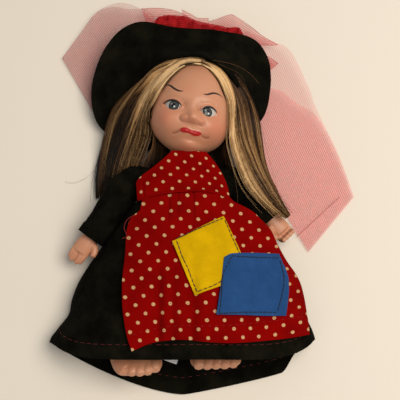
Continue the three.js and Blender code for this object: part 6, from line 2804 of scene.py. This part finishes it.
    @staticmethod
    def _both_patches() -> Tuple[Patch, Patch]:
        """Gives the two patches.

        Returns:
            The yellow patch and the blue one.
        """
        yellow_edges = Outline(
            Path([(-6, -31.6), (0.8, -48.4), (7.4, -64.5)]),
            Path([(24.2, -15.6), (32.2, -33.4), (40, -51)]))
        yellow_seams = (
            ((-3.7, -30.2), (4, -26.6), (10.4, -23.6), (17.5, -20.3), (24.1, -16.9)),
            ((24.7, -18.2), (28.6, -27.8), (33, -37.8), (35, -42)),
            ((-3.4, -31.2), (0.3, -41.9), (3.2, -48.2), (5.4, -54.2), (8.6, -62.6)),
            ((8.8, -62.4), (16, -59.4), (20, -57), (25, -53.5)))
        blue_edges = Outline(
            Path([(23.8, -41.1), (21.4, -58.2), (18.8, -75.6)]),
            Path([(56.2, -37.3), (60.2, -51.4), (58.9, -75.8)]),
            Path([(23.8, -41.1), (27.9, -38.8), (31.9, -38.3), (36, -38), (40, -37.9), (44.1, -37.8),
                  (48.1, -37.7), (52.2, -37.5), (56.2, -37.3)]))
        blue_seams = (
            ((27.9, -40.2), (34.6, -40.4), (41.8, -40.6), (48.6, -40.5), (55.8, -40)),
            ((56.2, -41.7), (57.6, -50.5), (57.1, -58.9), (55.7, -66.4), (54.3, -73.1)),
            ((54, -73.8), (42.6, -73.7), (30.2, -74.4), (20, -75.1)),
            ((28.4, -40.5), (22.8, -51.9), (21.4, -65.3), (20.3, -74.7)))
        yellow = Patch("yellow", yellow_edges, yellow_seams, 1.65, (36, 38))
        blue = Patch("blue", blue_edges, blue_seams, 2.6, (41, 38))
        return yellow, blue

    def _patches(self, finishes: Finishes) -> None:
        """Cuts both patches and sews them on.

        Args:
            finishes: All the materials.
        """
        rng = np.random.default_rng(SEED + 4)
        felts = ((finishes.yellow_felt, Slot.YELLOW_FELT), (finishes.blue_felt, Slot.BLUE_FELT))
        for patch, (finish, slot) in zip(self._both_patches(), felts):
            obj = self.layer(f"patch_{patch.word}_felt", patch.edges,
                             lambda u, v, x, y: self._patch_top(patch, x, y) + self._cut(u, v), (70, 70),
                             patch.cloth)
            settle(obj, finish, slot, SKIRT_BEND, [f"patch_{patch.word}"])
            cloth(obj, patch.size, "laid", ["apron_skirt_cotton"])
            seams = [self._seam(patch, line, rng) for line in patch.seams]
            stitches = Bench.join(f"patch_{patch.word}_stitches", seams)
            settle(stitches, finishes.black_thread, slot, SKIRT_BEND)

    def _patch_top(self, patch: Patch, x: Array, y: Array) -> Array:
        """Gives the height of a patch's top side over the skirt."""
        return self._top(x, y) + patch.lift + patch.rise(x, y)

    @staticmethod
    def _cut(u: Array, v: Array) -> Array:
        """Lowers a patch's cut edge a little, unevenly."""
        side = np.minimum(np.minimum(u, 1 - u), np.minimum(v, 1 - v))
        return -0.3 * (1 - smooth(0, 0.025, side)) * (1 + 0.4 * np.sin(40 * u + 31 * v))

    def _seam(self, patch: Patch, line: Sequence[Point], rng: Random) -> Piece:
        """Sews along one side of a patch with black machine stitches.

        Args:
            patch: The patch.
            line: The seam seen from above.
            rng: Source of the differences.

        Returns:
            The stitches.
        """
        places = Path(line).at(np.linspace(0, 1, 80))
        x, y = places[:, 0], places[:, 1]
        points, out = self.form.over(x, y, self._patch_top(patch, x, y) + 0.12)
        return sew("seam", points, out, PATCH_STITCH, rng)


@dataclass
class LimbEnd:
    """Wrist or heel, from which a hand or foot is placed."""

    at: Array
    along: Array

    def __post_init__(self) -> None:
        """Works out the directions across and up."""
        self.across, self.up = axes(self.along)

    def place(self, forward: float, aside: float, high: float) -> Array:
        """Gives a point of the hand or foot."""
        return self.at + self.along * forward + self.across * aside + self.up * high


@dataclass
class Limbs:
    """Vinyl arms with hands, and legs with bare feet."""

    wrist: float = 5.8
    palm_width: float = 12.0
    finger_radius: float = 2.1
    finger_length: float = 9.4
    fingers: Sequence[float] = (-4.0, -1.95, 1.95, 4.0)
    ankle: float = 7.0
    foot_length: Mapping[int, float] = field(default_factory=lambda: {-1: 29.5, 1: 24.4})
    foot_width: Mapping[int, float] = field(default_factory=lambda: {-1: 28.0, 1: 31.0})
    toe_radius: float = 3.1
    toe_reach: Mapping[int, Sequence[float]] = field(default_factory=lambda: {
        -1: (-3.4, -1.0, 0.1, 0.2, -1.2), 1: (-1.2, -0.5, -0.5, -0.4, -0.9)})

    def build(self, finishes: Finishes) -> None:
        """Makes and dresses arms and legs.

        Args:
            finishes: All the materials.
        """
        for side, word in ((-1, "left"), (1, "right")):
            arm = self._arm(side, f"arm_{word}_vinyl", side > 0)
            settle(arm, finishes.vinyl, Slot.VINYL, f"arm_{word}", [f"arm_{word}"])
            leg = self._leg(side, f"leg_{word}_vinyl")
            settle(leg, finishes.vinyl, Slot.VINYL, f"leg_{word}", [f"leg_{word}"])

    @staticmethod
    def _form(name: str, points: Sequence[Point], sizes: Sequence[Point], cells: Cells,
              root: float = 0.0) -> Piece:
        """Makes one rounded form along a line.

        Args:
            name: The form's name.
            points: The line's points.
            sizes: Half sizes across and up, along the line.
            cells: Cells round and along.
            root: Where the form stops in X, with its sign, or 0.

        Returns:
            The closed form.
        """
        path = Path(points)
        girth = Path([(*s, 0) for s in sizes])
        rounding = 0.08

        def shape(u: Array, v: Array) -> Array:
            """Form's surface, closed round at both ends."""
            angle = -2 * np.pi * u
            along = path.along(v)
            end = np.clip(np.minimum(v, 1 - v) / rounding, 0, 1)
            size = girth.at(v) * np.sqrt(np.clip(1 - (1 - end) ** 2, 0, 1))[:, None]
            point = around(path.at(v), along, size, angle)
            if root:
                side = math.copysign(1.0, root)
                point[:, 0] = side * np.maximum(side * point[:, 0], abs(root))
            return point

        return Bench.grid(name, shape, cells, solid=True)

    def _digit(self, name: str, points: Sequence[Point], radius: float) -> Piece:
        """Makes one finger or toe."""
        sizes = [(radius * share, radius * share) for share in (1.0, 1.04, 1.0, 0.72)]
        return self._form(name, points, sizes, (14, 16))

    def _arm(self, side: int, name: str, curled: bool) -> Piece:
        """Moulds one arm and hand.

        Args:
            side: -1 for the left one, 1 for the right one.
            name: The piece's name.
            curled: Whether the fingers are bent.

        Returns:
            The piece.
        """
        root = side * (ARM_SEAT + GAP)
        points = [(root, SHOULDER_Y, BODY_Z + 1), *Dress.ARMS[side]]
        sizes = [(8.6, 8.6), (8.3, 8.3), (8.2, 8.0), (7.0, 6.6), (self.wrist, self.wrist * 0.9)]
        path = Path(points)
        forms = [self._form(name, points, sizes, (32, 40), root)]
        hand = LimbEnd(path.at(1.0), path.along(1.0))
        place = hand.place
        w, half = self.wrist, self.palm_width / 2
        forms.append(self._form("palm", [place(forward, 0, 0) for forward in (-3, 1, 6, 12)],
                                [(w, w * 0.9), (w * 0.92, w * 0.8), (half, 4.2), (half, 3.4)], (28, 24)))
        thumb = side * (-1 if hand.across[0] > 0 else 1)
        r = self.finger_radius
        for k in range(4):
            spread = 2.5 * (k - 1.5) if curled else self.fingers[k]
            reach = self.finger_length * (1 if k in (1, 2) else 0.84)
            straight = ((7, spread * 0.9, 0), (12, spread, 0.6), (9.5 + reach, spread * 0.94, -0.8))
            bent = ((8, spread, -0.5), (14.2, spread * 1.1, 0.2), (15.4, spread, 5.4))
            line = [place(*spot) for spot in (bent if curled else straight)]
            forms.append(self._digit(f"finger_{k}", line, r * (0.82 if k in (0, 3) else 0.88)))
        straight = ((2, thumb * 4, 0.5), (5, thumb * 7.5, 1.5), (9, thumb * 9, 2))
        bent = ((3, thumb * 4.5, 1.5), (7.5, thumb * 7.4, 3.6), (12, thumb * 6.6, 5.8))
        line = [place(*spot) for spot in (bent if curled else straight)]
        forms.append(self._digit("thumb", line, r * 1.08))
        obj = Bench.join(name, forms)
        Bench.mould(obj, 0.42, 2)
        return obj

    def _leg(self, side: int, name: str) -> Piece:
        """Moulds one leg and foot.

        Args:
            side: -1 for the left one, 1 for the right one.
            name: The piece's name.

        Returns:
            The piece.
        """
        knee, ankle = (-23.5, -29.0) if side < 0 else (20.0, 19.5)
        root = side * (LEG_SEAT + GAP)
        points = [(root, HIP_Y, BODY_Z - 1), (side * 17, HIP_Y - 2, BODY_Z - 1.4), (knee, HIP_Y - 15, 17.5),
                  (knee, HIP_Y - 30, 15.5), (ankle, HIP_Y - 47, 12.5)]
        sizes = [(11.5, 11.5), (11.2, 11.2), (10.6, 10.4), (9.2, 9.0), (self.ankle, self.ankle)]
        forms = [self._form(name, points, sizes, (36, 40), root)]
        heel = np.array([ankle, HIP_Y - 46, 9.5])
        foot = LimbEnd(heel, unit(np.array([0.12 if side < 0 else 0.02, -0.74, 0.6])))
        place = foot.place
        wide, length = self.foot_width[side], self.foot_length[side]
        forms.append(self._form("sole", [place(f, 0, 0) for f in (-5.5, -2.5, 5, 12, length - 5, length - 1)],
                                [(6.0, 5.4), (7.4, 6.6), (9.6, 6.4), (wide / 2, 5.4), (wide / 2, 4),
                                 (wide * 0.44, 3)], (36, 30)))
        if side < 0:
            outer = [(2, 5.5), (10, 10), (length - 9, 9.5), (length - 3.5, 7.5)]
            forms.append(self._form("foot_side", [place(f, a, 0) for f, a in outer],
                                    [(5, 5), (7, 5.6), (6.4, 4.6), (4.4, 3.6)], (28, 24)))
        for k in range(5):
            aside = -side * math.copysign(1, foot.across[0]) * (k - 2) * wide * 0.168
            radius = self.toe_radius * (1.12 if k == 4 else 1.0)
            reach = length + self.toe_reach[side][k]
            forms.append(self._digit(f"toe_{k}", [place(reach - 6.5, aside, 0), place(reach - 3, aside, 0.5),
                                                  place(reach + 1.2, aside, 0.2)], radius))
        obj = Bench.join(name, forms)
        Bench.mould(obj, 0.45, 6)
        return obj


@dataclass
class Label:
    """Blank white tape label inside the back of the skirt."""

    width: float = 9.0
    length: float = 11.5
    thickness: float = 0.3
    corner: Point = (-4.3, -102.2)
    turn: float = math.radians(19)

    def build(self, finishes: Finishes) -> None:
        """Makes and dresses the label.

        Args:
            finishes: All the materials.
        """
        def shape(u: Array, v: Array) -> Array:
            """Label's face, a little curled."""
            across, along = self.width * (1 - u), self.length * v
            cosine, sine = math.cos(self.turn), math.sin(self.turn)
            return columns(self.corner[0] - across * cosine + along * sine,
                           self.corner[1] + across * sine + along * cosine,
                           2.0 + 0.4 * np.sin(np.pi * u) * (1 - v))

        obj = Bench.grid("label_tape", shape, (16, 20),
                         lambda u, v: columns(self.width * u, self.length * v), wall=self.thickness)
        settle(obj, finishes.tape, Slot.TAPE, SKIRT_BEND, ["care_label"])


def main() -> None:
    """Builds the doll's sub-assemblies in order."""
    logging.basicConfig(level=logging.INFO, format="%(name)s: %(message)s")
    Studio().build()
    finishes = Finishes()
    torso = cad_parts["torso"]
    torso.data.materials.clear()
    torso.data.materials.append(finishes.vinyl)
    form = SkirtForm()
    head = Head()
    head.build(finishes)
    Hair(head).build(finishes)
    Hat(head).build(finishes)
    Dress(form).build(finishes)
    Apron().build(finishes)
    Limbs().build(finishes)
    Label().build(finishes)


if __name__ == "__main__":
    main()
